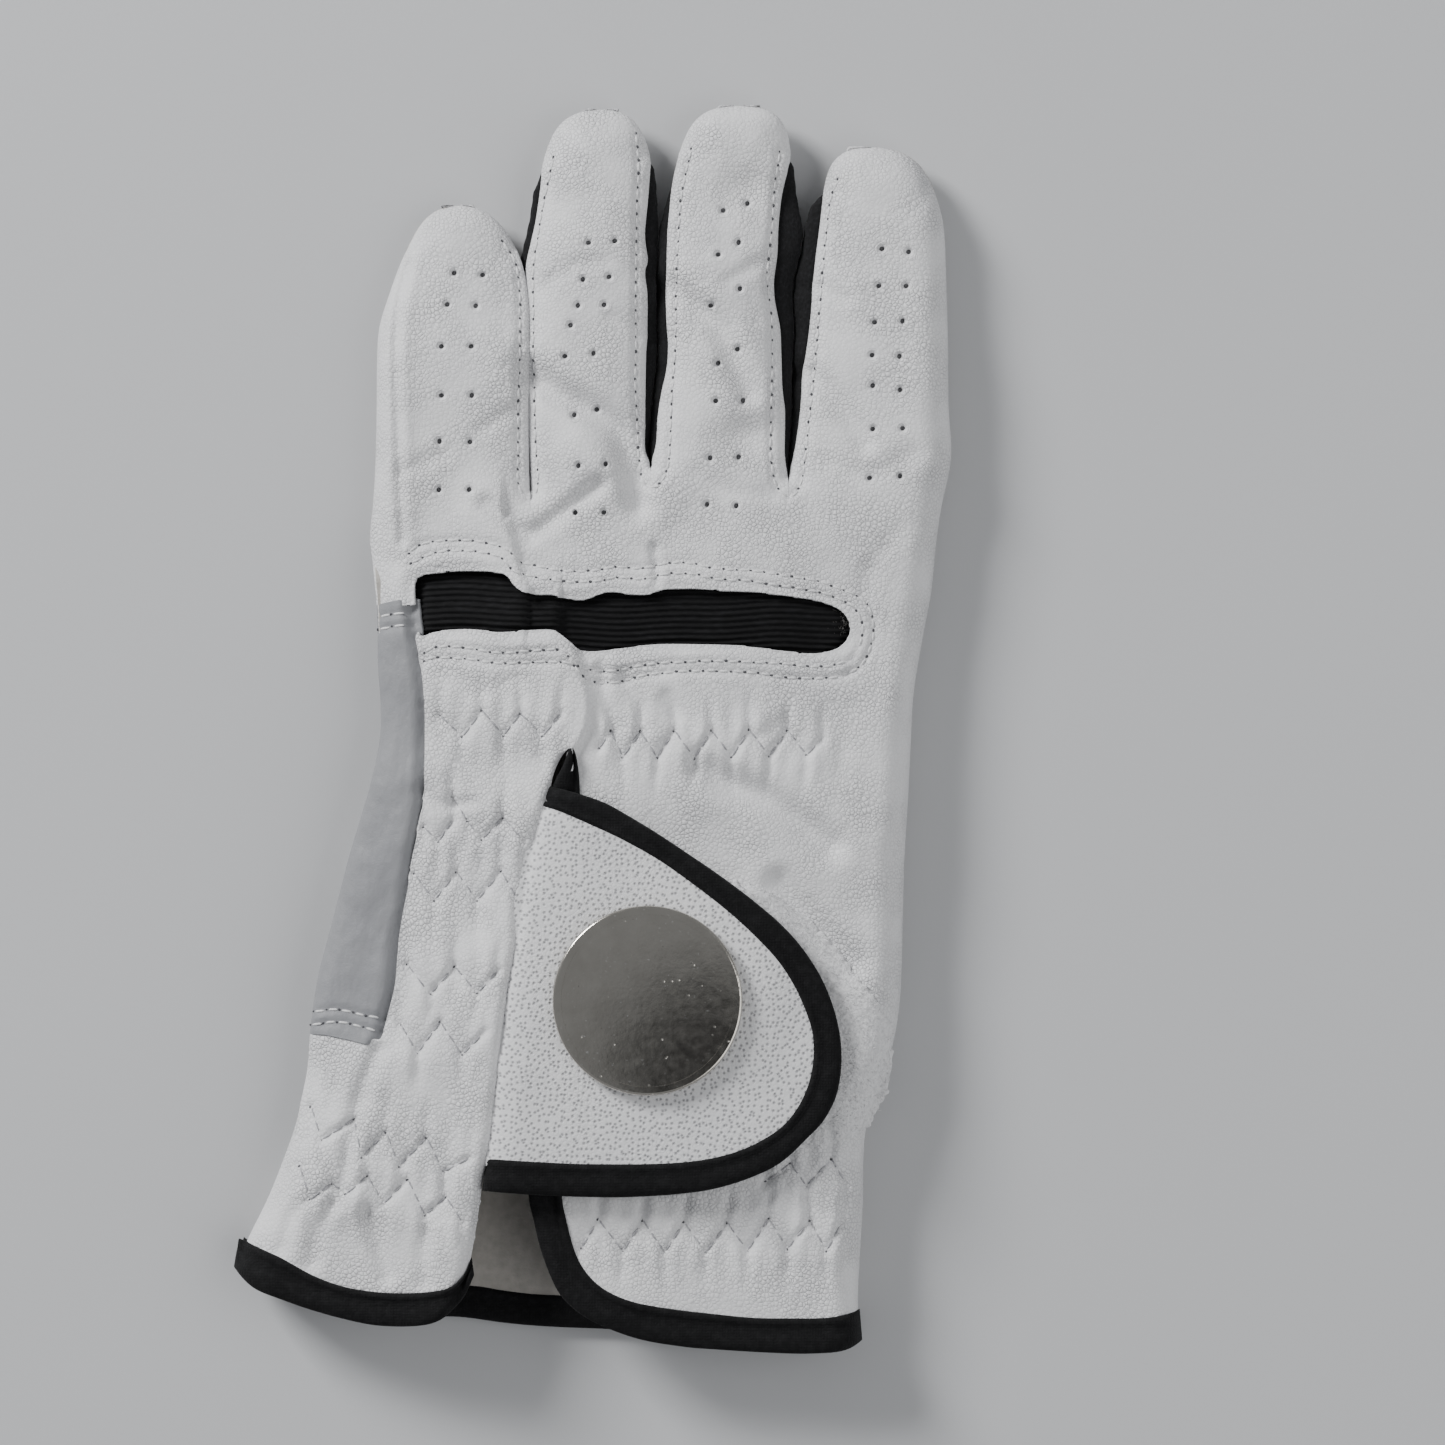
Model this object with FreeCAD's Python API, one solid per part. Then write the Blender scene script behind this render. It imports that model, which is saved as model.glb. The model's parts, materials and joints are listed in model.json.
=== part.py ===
import FreeCAD, Part
import math
import os

# Golf glove for one hand, lying palm down with the thumb folded under the palm.
# +X runs to the little finger, +Y to the fingertips and +Z up; the table is z = 0.

# overall sizes
glove_length = 201.2
glove_width = 115.8

# heights above the table
leather = 0.8
finger_height = 9.0
thumb_height = 5.8
thumb_clearance = 0.3
back_top = 13.0

# fingers
finger_root_y = 40.0
root_gap = 0.4
tip_length = 17.0

# thumb
thumb_length = 55.0
thumb_root_width = 26.0
thumb_tip_width = 20.0
thumb_angle = 48.0

# closure tab and what is on it
binding_width = 5.3
binding_thickness = 1.4
loop_thickness = 0.8
hook_thickness = 0.6
lining_thickness = 0.5
tab_leather_thickness = 0.7
fastener_gap = 0.3

# ball marker
marker_radius = 15.2
marker_thickness = 1.8
marker_gap = 0.3
seat_radius = 7.0
seat_height = 0.6
seat_clearance = 0.4
recess_depth = 0.8
rim_width = 1.0
relief = 0.2

# elastic
tape_width = 6.0
tape_thickness = 0.6
knuckle_sink = 0.4

# the pattern below is drawn for a glove of this size and stretched to the sizes above
pattern_length = 201.2
pattern_width = 115.8
stretch_x = glove_width / pattern_width
stretch_y = glove_length / pattern_length

nodes = {}


def at(x, y):
    """A point of the pattern."""
    return FreeCAD.Vector(x * stretch_x, y * stretch_y, 0)


def face(*runs):
    """A face inside runs of pattern points. A run of two points is straight, a longer one is a smooth curve."""
    edges = []
    first = at(*runs[0][0])
    here = first
    for number, run in enumerate(runs):
        points = [at(*p) for p in run]
        if number:
            points = [here] + points
        if len(points) == 1:
            continue
        if len(points) == 2:
            edges.append(Part.makeLine(points[0], points[1]))
        else:
            curve = Part.BSplineCurve()
            curve.interpolate(points)
            edges.append(curve.toShape())
        here = points[-1]
    if here.distanceToPoint(first) > 1e-6:
        edges.append(Part.makeLine(here, first))
    return Part.Face(Part.Wire(edges))


def raised(flat, low, high):
    """The flat face as a plate between two heights."""
    solid = flat.extrude(FreeCAD.Vector(0, 0, high - low))
    solid.translate(FreeCAD.Vector(0, 0, low))
    return solid


def block(low, high):
    """A box between two corners."""
    size = [b - a for a, b in zip(low, high)]
    return Part.makeBox(size[0], size[1], size[2], FreeCAD.Vector(*low))


def joined(first, *others):
    """One solid from pieces that share faces."""
    shape = first
    for other in others:
        shape = shape.fuse(other)
    return shape.removeSplitter()


def moved_in(points, distance):
    """The open chain of points moved to its right by a distance; its two ends move along X only."""
    result = []
    last = len(points) - 1
    for i, (x, y) in enumerate(points):
        if i == 0:
            result.append((x + distance, y))
        elif i == last:
            result.append((x - distance, y))
        else:
            dx = points[i + 1][0] - points[i - 1][0]
            dy = points[i + 1][1] - points[i - 1][1]
            length = math.hypot(dx, dy)
            result.append((x + distance * dy / length, y - distance * dx / length))
    return result


def beside(points, distance):
    """The points shifted sideways along X, as the other edge of a band that runs mostly along Y."""
    return [(x + distance, y) for x, y in points]


# ---------------------------------------------------------------- pattern lines

root_y = finger_root_y
hand_left = [
    (-35.4, root_y), (-34.9, 28), (-34.7, 12), (-34.3, 3), (-36, -10), (-40.3, -25),
    (-45.6, -49), (-47, -60), (-52, -75), (-57.8, -87),
]
hem_line = [(-50, -92), (-40, -95), (-30, -96.2), (-16, -96.1), (2, -97.4), (20, -99.9), (35, -100.7), (43.6, -98.4)]
hand_right = [(42.9, -90), (43.9, -70), (49.7, -45), (50.5, -20), (51.5, 0), (54.4, 20), (57.6, root_y)]

knuckle_slot = [
    [(-28.8, 20), (-28, 24.5), (-20, 25.3), (-13.5, 24.4), (-9.5, 21.8), (-1, 20.8), (4, 21.8), (20, 22.2), (35, 20.8)],
    [(40.3, 19.2), (41.7, 16), (40, 12.8)],
    [(30, 12.3), (15, 13.2), (2, 12.3), (-4, 14.2), (-10, 15.5), (-20, 15.7), (-27.5, 14.6), (-28.8, 20)],
]
strip_edge = [(-6, -8.5), (-8, -15), (-10, -23), (-11.5, -33), (-13.5, -44), (-15.3, -60), (-17.5, -73), (-19, -83)]
slit_side = [(-5, -90), (-3.6, -81), (-4.8, -72), (-5, -50), (-3, -24), (-1.8, -10.5)]
patch_edge = [(-28.7, 15.5), (-27.2, 9), (-26.8, -5), (-28.5, -20), (-31, -35), (-34.3, -51)]

FINGERS = {
    "index": [
        (-35.3, root_y), (-35, 52), (-34.4, 64), (-32.5, 73), (-29, 80.5), (-24.5, 84),
        (-19, 83.6), (-14.5, 79.5), (-11.8, 72), (-10.6, 62), (-10.5, 50), (-10.5, root_y),
    ],
    "middle": [
        (-10, root_y), (-10, 52), (-9.9, 68), (-9.5, 80), (-8.6, 90), (-4.5, 98.2),
        (0.5, 99.8), (5.5, 98.2), (9, 91), (9.3, 80), (9.2, 68), (9.2, 52), (9.2, root_y),
    ],
    "ring": [
        (10, root_y), (10.6, 52), (11.6, 66), (12.3, 80), (13.9, 92), (17.5, 98.6),
        (22.5, 100.3), (27.5, 99.5), (31.2, 94), (31.4, 80), (31.2, 66), (31.2, 52), (31.3, root_y),
    ],
    "little": [
        (32.3, root_y), (33.5, 50), (35, 62), (36.2, 74), (37.3, 85), (40.5, 92),
        (46, 93.7), (52, 91.3), (56.2, 84), (57.4, 74), (57.7, 60), (57.9, 50), (58, root_y),
    ],
}
LEATHER_SIDE = {"index": "left", "little": "right"}


# ---------------------------------------------------------------- fingers


def finger(name, outline):
    """A finger stall: back panel with its tip, front panel, and a gusset on each side that has one."""
    start = (outline[0][0], outline[0][1] + root_gap)
    finish = (outline[-1][0], outline[-1][1] + root_gap)
    chain = [start] + outline[1:-1] + [finish]
    outside = face(chain)
    inside = face(moved_in(chain, leather))
    low = leather
    high = finger_height - leather
    wall = raised(outside, low, high).cut(raised(inside, low, high))
    tip_y = (max(y for x, y in chain) - tip_length) * stretch_y
    middle_x = 0.5 * (chain[0][0] + chain[-1][0]) * stretch_x
    reach = glove_width
    everything_above = block((-reach, tip_y, -1), (reach, glove_length, back_top))
    below_left = block((-reach, -glove_length, -1), (middle_x, tip_y, back_top))
    below_right = block((middle_x, -glove_length, -1), (reach, tip_y, back_top))
    sides = {"left": wall.common(below_left), "right": wall.common(below_right)}
    back = joined(raised(outside, high, finger_height), wall.common(everything_above))
    leather_side = LEATHER_SIDE.get(name)
    if leather_side:
        back = joined(back, sides.pop(leather_side))
    nodes[name + "_back"] = back
    nodes[name + "_front"] = raised(outside, 0, leather)
    for side, strip in sides.items():
        suffix = "_gusset" if len(sides) == 1 else "_gusset_" + side
        nodes[name + suffix] = strip


# ---------------------------------------------------------------- hand

hand = face(hand_left, hem_line, hand_right)
hand_inside = face(
    beside(hand_left, leather),
    [(x, y - 20) for x, y in hem_line],
    beside(hand_right, -leather),
)
sheet_low = back_top - leather
palm_lift = thumb_height + thumb_clearance


def frustum(grow, lift):
    """The raised space over the thumb: flat on top, sloping to the table to the right, the front and the back."""
    wide = [(-90, -76 - grow), (38 + grow, -76 - grow), (38 + grow, 38 + grow), (-90, 38 + grow)]
    narrow = [(-90, -63 - grow), (23 + grow, -63 - grow), (23 + grow, 30 + grow), (-90, 30 + grow)]
    wires = []
    for corners, z in ((wide, 0), (narrow, lift)):
        points = [at(*c) + FreeCAD.Vector(0, 0, z) for c in corners]
        wires.append(Part.makePolygon(points + points[:1]))
    return Part.makeLoft(wires, True, True)


thumb_space = frustum(0, palm_lift)
thumb_cover = frustum(1.6 * leather, palm_lift + leather)

slit_top = (-3, -3.2)
slit_area = face(
    [slit_top] + strip_edge + [(-20.5, -88), (-23, -96)],
    [(-23, -110)],
    [(-5, -110)],
    slit_side[:1],
    slit_side[1:] + [slit_top],
)
patch_area = face([(-60, 19.2)], [(-29.4, 20.2)], patch_edge, [(-60, -47)])
left_hem_area = face(
    [(-60, -82.4), (-50, -85.3), (-40, -89.8), (-30, -90.8), (-23, -90.2), (-19.6, -86)],
    [(-24.5, -110)],
    [(-60, -110)],
)
right_hem_area = face(
    [(-5, -90), (-1.3, -90.8), (4, -91.8), (14, -93.6), (26, -94.9), (36, -95.1), (60, -94)],
    [(60, -110)],
    [(-5, -110)],
)
palm_hem_area = face(
    [(-70, -81), (-50, -86.7), (-40, -89.7), (-30, -90.9), (-16, -90.8), (2, -92.1), (20, -94.6), (35, -95.4), (60, -93)],
    [(60, -110)],
    [(-70, -110)],
)
binding_low = back_top + 0.3 - binding_thickness


def on_hand(area, low, high):
    """A plate over the part of the hand that lies inside the area."""
    return raised(area, low, high).common(raised(hand, low, high))


def back_of_hand():
    """Back panel with the knuckle slot and the closure slit, and the side walls down to the palm."""
    sheet = raised(hand, sheet_low, back_top)
    for area in (face(*knuckle_slot), slit_area, patch_area, left_hem_area, right_hem_area):
        sheet = sheet.cut(raised(area, sheet_low - 1, back_top + 1))
    split = 0.5 * back_top
    ring = raised(hand, leather, sheet_low).cut(raised(hand_inside, leather, sheet_low))
    right = ring.common(block((0, -94 * stretch_y, split), (90, 90, sheet_low)))
    lower_right = ring.common(block((0, -94 * stretch_y, leather), (90, 90, split)))
    left = ring.common(block((-90, -81 * stretch_y, leather), (-20, 90, sheet_low))).cut(thumb_cover)
    patch_band = raised(patch_area, leather, sheet_low)
    nodes["back_leather"] = joined(sheet, right, left.cut(patch_band))
    patch = on_hand(patch_area, sheet_low, back_top)
    nodes["side_patch"] = joined(patch, left.common(patch_band))
    palm = raised(hand, 0, leather).fuse(thumb_cover).cut(thumb_space)
    palm = palm.common(raised(hand, 0, sheet_low)).cut(raised(palm_hem_area, -1, binding_thickness + 1))
    nodes["palm_leather"] = joined(palm, lower_right)


def bindings():
    """Folded tape round the slit and along the hem."""
    low = binding_low
    high = low + binding_thickness
    nodes["hem_binding_left"] = on_hand(left_hem_area, low, high)
    nodes["hem_binding_right"] = on_hand(right_hem_area, low, high)
    nodes["hem_binding_palm"] = on_hand(palm_hem_area, 0, binding_thickness)
    right_edge = slit_side + [slit_top]
    left_edge = [(-6.2, -8.9), (-7.4, -14), (-8.2, -24), (-10.2, -50), (-10.1, -72), (-8.9, -81), (-7, -90)]
    band = raised(face(right_edge, left_edge), low, high)
    nodes["slit_binding"] = band.common(raised(slit_area, low, high))


def tape(x0, y0, x1, y1):
    """A strip of elastic tape under the back, from one pattern point to another."""
    a = at(x0, y0)
    b = at(x1, y1)
    along = b - a
    strip = Part.makeBox(along.Length, tape_width, tape_thickness, FreeCAD.Vector(0, -tape_width / 2, 0))
    strip.rotate(FreeCAD.Vector(0, 0, 0), FreeCAD.Vector(0, 0, 1), math.degrees(math.atan2(along.y, along.x)))
    strip.translate(FreeCAD.Vector(a.x, a.y, sheet_low - tape_thickness))
    return strip


def elastics():
    """The ribbed elastic in the knuckle slot, and the hidden tapes that the zigzag rows hold."""
    low, high = sheet_low - tape_thickness, back_top - knuckle_sink
    nodes["knuckle_elastic"] = raised(face(*knuckle_slot), low, high).cut(raised(patch_area, low - 1, high + 1))
    nodes["back_elastic"] = tape(1, -2.6, 38.5, -2.6)
    rows = ((-24.5, 0.6, -6, 0.6), (-27, -16.2, -11.2, -16.2), (-28.5, -25.4, -12.4, -25.4))
    rows += ((-29.7, -40.4, -15, -40.4), (-30.7, -50, -17, -50))
    nodes["strip_elastics"] = Part.makeCompound([tape(*row) for row in rows])
    left_rows = ((-44.6, -63, -20.5, -68.2), (-46.5, -73, -21.5, -76.4))
    nodes["cuff_elastic_left"] = Part.makeCompound([tape(*row) for row in left_rows])
    right_rows = ((27, -71.4, 41.5, -71.4), (-1.5, -81.8, 40.5, -81.8))
    nodes["cuff_elastic_right"] = Part.makeCompound([tape(*row) for row in right_rows])


# ---------------------------------------------------------------- thumb


def thumb():
    """The thumb stall, flat on the table under the palm and open at its root."""
    half = 0.5 * thumb_root_width
    tip = 0.5 * thumb_tip_width
    chain = [
        (-half, 0), (-half, 0.3 * thumb_length), (-tip, 0.7 * thumb_length), (-0.75 * tip, 0.92 * thumb_length),
        (0, thumb_length), (0.75 * tip, 0.92 * thumb_length), (tip, 0.7 * thumb_length),
        (half, 0.3 * thumb_length), (half, 0),
    ]
    outside = face(chain)
    inside = face(moved_in(chain, leather))
    walls = raised(outside, leather, thumb_height - leather)
    walls = walls.cut(raised(inside, leather, thumb_height - leather))
    back = joined(raised(outside, thumb_height - leather, thumb_height), walls)
    front = raised(outside, 0, leather)
    place = FreeCAD.Placement(at(-28, -34), FreeCAD.Rotation(FreeCAD.Vector(0, 0, 1), thumb_angle - 90))
    for name, shape in (("thumb_back", back), ("thumb_front", front)):
        shape.Placement = place
        nodes[name] = shape


# ---------------------------------------------------------------- closure tab

loop_top = back_top + loop_thickness
hook_low = loop_top + fastener_gap
lining_low = hook_low + hook_thickness
tab_low = lining_low + lining_thickness
tab_top = tab_low + tab_leather_thickness

tab_outer = [
    (2, -12), (10, -16.6), (20, -23.3), (30, -31.2), (36.5, -39.5), (39.8, -49), (39.3, -59),
    (34.5, -66), (26, -72), (14, -74.8), (0, -75.3), (-17.3, -74.4),
]
tab_inner = [
    (0, -15.7), (10, -20.8), (20, -28), (29.5, -37), (34.5, -46), (35.3, -55),
    (31, -63.5), (22, -68.3), (8, -69.9), (-16.5, -69.2),
]


def closure_tab():
    """The tab: leather and lining inside a folded binding, with the hook pad under its free end."""
    whole = face([(-7.3, -11)] + tab_outer)
    field = face([(-7.6, -13.2)] + tab_inner)
    root = face([(-7.3, -11)] + [(-7.6, -13.2)], [(-16.5, -69.2)], [(-17.3, -74.4)], [(-40, -74.4)], [(-40, -11)])
    edge = raised(whole, lining_low, tab_top + 0.1).cut(raised(field, lining_low, tab_top + 0.1))
    edge = edge.cut(raised(root, 0, 30))
    nodes["tab_binding"] = edge
    nodes["tab_leather"] = raised(field, tab_low, tab_top)
    nodes["tab_lining"] = raised(field, lining_low, tab_low)
    pad = face([(17, -32), (23, -32), (32, -43), (34, -53), (30, -62), (22, -66.5), (17, -66.5)])
    nodes["hook_pad"] = raised(pad.common(field), hook_low, lining_low)
    patch = face(
        [(20, -29)],
        [(24, -25.5), (33, -29.5), (42, -39), (48.2, -47.5), (48.3, -55), (45.5, -63), (40, -66.5), (30, -68)],
        [(20, -67)],
    )
    nodes["loop_patch"] = on_hand(patch, back_top, loop_top)


def marker():
    """The ball marker and the magnet seat that holds it on the tab."""
    centre = at(9, -43.7)
    low = tab_top + marker_gap
    seat = Part.makeCylinder(seat_radius, seat_height, centre + FreeCAD.Vector(0, 0, tab_top))
    nodes["marker_seat"] = seat.makeChamfer(0.15, [seat.Edges[0]])
    disc = Part.makeCylinder(marker_radius, marker_thickness, FreeCAD.Vector(0, 0, low))
    rims = [e for e in disc.Edges if e.Closed]
    disc = disc.makeFillet(0.45, rims)
    disc = disc.cut(Part.makeCylinder(seat_radius + seat_clearance, recess_depth, FreeCAD.Vector(0, 0, low)))
    top = low + marker_thickness
    field = Part.makeCylinder(marker_radius - rim_width - 0.4, relief, FreeCAD.Vector(0, 0, top - relief))
    raised_part = ball_on_tee(top - relief)
    disc = disc.cut(field.cut(raised_part))
    disc.translate(centre)
    nodes["ball_marker"] = disc


def ball_on_tee(z):
    """A plain ball on a tee in low relief, about the disc's centre."""
    size = marker_radius
    ball = Part.makeCylinder(0.2 * size, relief, FreeCAD.Vector(0, 0.36 * size, z))
    half = 0.19 * size
    stem = 0.05 * size
    corners = [
        (-half, 0.13 * size), (-stem, -0.12 * size), (-stem, -0.5 * size), (0, -0.62 * size),
        (stem, -0.5 * size), (stem, -0.12 * size), (half, 0.13 * size),
    ]
    points = [FreeCAD.Vector(x, y, z) for x, y in corners]
    tee = Part.Face(Part.makePolygon(points + points[:1])).extrude(FreeCAD.Vector(0, 0, relief))
    return Part.makeCompound([ball, tee])


# ---------------------------------------------------------------- build

for finger_name, finger_outline in FINGERS.items():
    finger(finger_name, finger_outline)
back_of_hand()
bindings()
elastics()
thumb()
closure_tab()
marker()

whole_box = Part.makeCompound(list(nodes.values())).optimalBoundingBox(False)
shift = FreeCAD.Vector(-whole_box.Center.x, -whole_box.Center.y, -whole_box.ZMin)
os.makedirs("parts", exist_ok=True)
for node_name, node_shape in nodes.items():
    node_shape.translate(shift)
    solids = node_shape.Solids
    if not solids or not all(s.isValid() and s.Volume > 0 for s in solids):
        raise ValueError(node_name + " is not a valid solid")
    result = solids[0] if len(solids) == 1 else Part.makeCompound(solids)
    result.exportStep("parts/" + node_name + ".step")
print("shift", tuple(shift), "size", whole_box.XLength, whole_box.YLength, whole_box.ZLength)
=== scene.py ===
import json
import math

import bpy
import numpy as np
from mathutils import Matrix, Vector

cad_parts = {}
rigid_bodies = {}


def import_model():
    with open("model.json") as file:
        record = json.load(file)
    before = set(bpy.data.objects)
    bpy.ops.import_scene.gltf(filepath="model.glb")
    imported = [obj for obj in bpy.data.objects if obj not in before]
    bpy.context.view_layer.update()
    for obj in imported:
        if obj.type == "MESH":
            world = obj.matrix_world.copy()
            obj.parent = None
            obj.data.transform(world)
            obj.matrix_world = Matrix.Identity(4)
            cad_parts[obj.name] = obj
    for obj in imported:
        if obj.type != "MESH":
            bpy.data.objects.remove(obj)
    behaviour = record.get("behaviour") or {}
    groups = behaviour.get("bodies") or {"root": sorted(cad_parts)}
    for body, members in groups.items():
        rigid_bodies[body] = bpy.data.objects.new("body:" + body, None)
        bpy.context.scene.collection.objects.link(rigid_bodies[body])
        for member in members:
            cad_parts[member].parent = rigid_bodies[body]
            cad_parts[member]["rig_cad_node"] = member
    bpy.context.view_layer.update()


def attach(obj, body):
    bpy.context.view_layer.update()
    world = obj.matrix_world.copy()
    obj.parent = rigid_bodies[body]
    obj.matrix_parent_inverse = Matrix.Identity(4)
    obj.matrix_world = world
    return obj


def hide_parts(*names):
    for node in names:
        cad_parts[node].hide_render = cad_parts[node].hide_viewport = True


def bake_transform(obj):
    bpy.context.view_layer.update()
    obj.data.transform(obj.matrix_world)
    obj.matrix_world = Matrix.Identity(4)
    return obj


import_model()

# Lines and sizes are in millimetres about the middle of the glove's pattern.
# CENTRE is where the CAD puts that middle, and piece() adds it and turns the result into metres.
CENTRE = np.array([-0.1, 0.269])
MM = 0.001
rng = np.random.default_rng(7)

# thickness of each leather and textile
BACK_LEATHER, FINGER_LEATHER, PALM_LEATHER, SOFT_LEATHER = 0.8, 0.75, 0.75, 0.7
KNIT, BAND, LINING_CLOTH, HOOK_TAPE, LOOP_TAPE, HIDDEN_TAPE = 0.45, 0.7, 0.45, 0.3, 0.5, 0.4


# ------------------------------------------------------------------ lines


def smooth(points, step=0.5, closed=False):
    """A curve through the points (Catmull-Rom), sampled about every step."""
    p = np.asarray(points, float)
    if closed:
        p = np.vstack([p[-1], p, p[0], p[1]])
    else:
        p = np.vstack([2 * p[0] - p[1], p, 2 * p[-1] - p[-2]])
    out = []
    for a, b, c, d in zip(p[:-3], p[1:-2], p[2:-1], p[3:]):
        n = max(int(np.linalg.norm(c - b) / step), 1)
        t = (np.arange(n) / n)[:, None]
        m1 = (c - a) * 0.5
        m2 = (d - b) * 0.5
        near_b = (2 * t**3 - 3 * t**2 + 1) * b + (t**3 - 2 * t**2 + t) * m1
        out.append(near_b + (3 * t**2 - 2 * t**3) * c + (t**3 - t**2) * m2)
    out.append(p[-2][None] if not closed else p[1][None])
    return np.vstack(out)


def even(line, count=None, step=None):
    """The line sampled at equal steps along its length."""
    line = np.asarray(line, float)
    s = np.concatenate([[0], np.cumsum(np.linalg.norm(np.diff(line, axis=0), axis=1))])
    if count is None:
        count = max(int(round(s[-1] / step)), 2) + 1
    q = np.linspace(0, s[-1], count)
    return joined(*(np.interp(q, s, line[:, k]) for k in range(line.shape[1])))


def nearest(points, line):
    """Distance from each point to the line, and the nearest place on it."""
    a, b = line[:-1], line[1:]
    ab = b - a
    l2 = np.maximum((ab**2).sum(1), 1e-12)
    best = np.full(len(points), 1e9)
    where = np.zeros((len(points), 2))
    for k in range(0, len(points), 4000):
        p = points[k : k + 4000]
        t = np.clip(((p[:, None] - a[None]) * ab[None]).sum(2) / l2, 0, 1)
        q = a[None] + t[:, :, None] * ab[None]
        d = ((p[:, None] - q) ** 2).sum(2)
        i = d.argmin(1)
        best[k : k + 4000] = np.sqrt(d[np.arange(len(p)), i])
        where[k : k + 4000] = q[np.arange(len(p)), i]
    return best, where


def inside(points, loop):
    """Whether each point is in the closed loop."""
    x, y = points[:, 0], points[:, 1]
    result = np.zeros(len(points), bool)
    previous = loop[-1]
    for here in loop:
        if here[1] != previous[1]:
            crosses = (here[1] > y) != (previous[1] > y)
            at_x = (previous[0] - here[0]) * (y - here[1]) / (previous[1] - here[1]) + here[0]
            result ^= crosses & (x < at_x)
        previous = here
    return result


def signed(points, loop):
    """Distance to the closed loop, negative inside."""
    closed = np.vstack([loop, loop[:1]])
    d, _ = nearest(points, closed)
    return np.where(inside(points, loop), -d, d)


def along_y(points):
    """A measured line as x from y."""
    p = np.array(sorted(points, key=lambda q: q[1]), float)
    fine = smooth(p, 0.5)
    order = np.argsort(fine[:, 1])
    fine = fine[order]
    return lambda y: np.interp(y, fine[:, 1], fine[:, 0])


def ease(t):
    t = np.clip(t, 0, 1)
    return t * t * (3 - 2 * t)


def hill(d, width):
    """1 at distance 0, falling away over the width."""
    return np.exp(-((d / width) ** 2))


def joined(*parts):
    """Arrays side by side, as the columns of one."""
    return np.stack(parts, axis=1)


def flat_grid(xs, ys):
    """The points of a grid as two flat arrays, and the grid's shape."""
    gx, gy = np.meshgrid(xs, ys)
    return gx.ravel(), gy.ravel(), gx.shape


def quarter(t):
    """0 at an edge rising like a quarter circle to 1."""
    t = np.clip(t, 0, 1)
    return np.sqrt(np.maximum(1 - (1 - t) ** 2, 0))


# ------------------------------------------------------------------ measured lines

LEFT = along_y([
    (-62, -96), (-59.5, -91), (-57.6, -87), (-55.4, -82), (-52, -75), (-48.2, -65), (-47, -60),
    (-46, -55), (-45.4, -48), (-44.2, -40), (-41.6, -30), (-39, -20), (-36, -10), (-34.3, -2), (-34.2, 4),
    (-34.6, 10), (-34.8, 19), (-35.6, 27), (-36, 31), (-35.5, 37), (-35.2, 42), (-35, 50), (-34.9, 60),
    (-34.5, 65), (-33, 70), (-31.2, 75), (-29, 79.5), (-27.6, 81.7), (-26, 83.2), (-24.2, 84.1),
    (-22, 84.5),
])
INDEX_RIGHT = along_y([
    (-10.1, 34), (-10.1, 38), (-10.2, 43), (-10.2, 50), (-10, 60), (-10, 66), (-10.3, 70), (-11.4, 75),
    (-12.7, 78), (-14.2, 80.5), (-16, 82.4), (-18, 83.7), (-20, 84.3), (-22, 84.5),
])
MIDDLE_LEFT = along_y([
    (-10.1, 34), (-10.1, 38), (-10.5, 46), (-10.9, 56), (-11, 66), (-11, 73.8), (-10.2, 78), (-9.3, 82),
    (-8.6, 87), (-8.1, 91), (-7.1, 94.5), (-5.6, 97.2), (-3.6, 98.9), (-1, 99.8), (1.5, 100),
])
MIDDLE_RIGHT = along_y([
    (9.4, 34), (9.3, 42), (8.5, 45), (8.6, 50), (8.7, 55), (8.8, 60), (9, 65), (9, 70), (8.6, 73.5),
    (9.1, 75.5), (8.6, 79.5), (9.1, 85), (9.4, 90.5), (9, 93.6), (7.9, 96.4), (6.2, 98.6), (4, 99.7),
    (1.5, 100),
])
RING_LEFT = along_y([
    (9.4, 34), (9.5, 42), (10.2, 46), (10.4, 50), (11, 54), (11.9, 58), (12.1, 62), (11.8, 66),
    (11.8, 74), (12, 80), (12.6, 86), (13.4, 90.5), (14.6, 94.7), (16.2, 97.7), (18.2, 99.5),
    (20.7, 100.3), (23.5, 100.6),
])
RING_RIGHT = along_y([
    (31.7, 34), (31.5, 40.5), (31.1, 44), (31.2, 51), (30.8, 55), (30.6, 61), (30.4, 64.5), (29.6, 68.5),
    (29.4, 72), (30, 76.5), (30.1, 81), (30.6, 86), (31.6, 90), (32, 93), (31.4, 96.4), (30, 98.8),
    (27.4, 100.2), (23.5, 100.6),
])
LITTLE_LEFT = along_y([
    (31.7, 34), (31.8, 40.5), (32.6, 45), (33.3, 50), (34, 58), (35, 65), (35.6, 73), (36.5, 80),
    (37.1, 85), (37.8, 89), (39, 91.6), (41, 93.2), (43.5, 93.8), (46.5, 93.9),
])
RIGHT = along_y([
    (43.5, -104), (43.3, -98), (42.9, -92), (43.3, -84), (43.7, -77), (43.8, -70), (44.3, -64.5),
    (46.4, -58), (48.6, -51), (49.8, -43), (50.2, -30), (50.4, -22), (51, -12), (51.5, -2), (52, 6),
    (53.5, 15), (54.8, 22), (55.6, 30), (56.5, 36), (57.8, 42), (58, 46), (57.6, 52), (57.5, 62),
    (57.3, 70), (56.9, 80), (55.9, 85), (54.3, 89), (52.3, 91.6), (49.6, 93.2), (46.5, 93.9),
])

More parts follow.
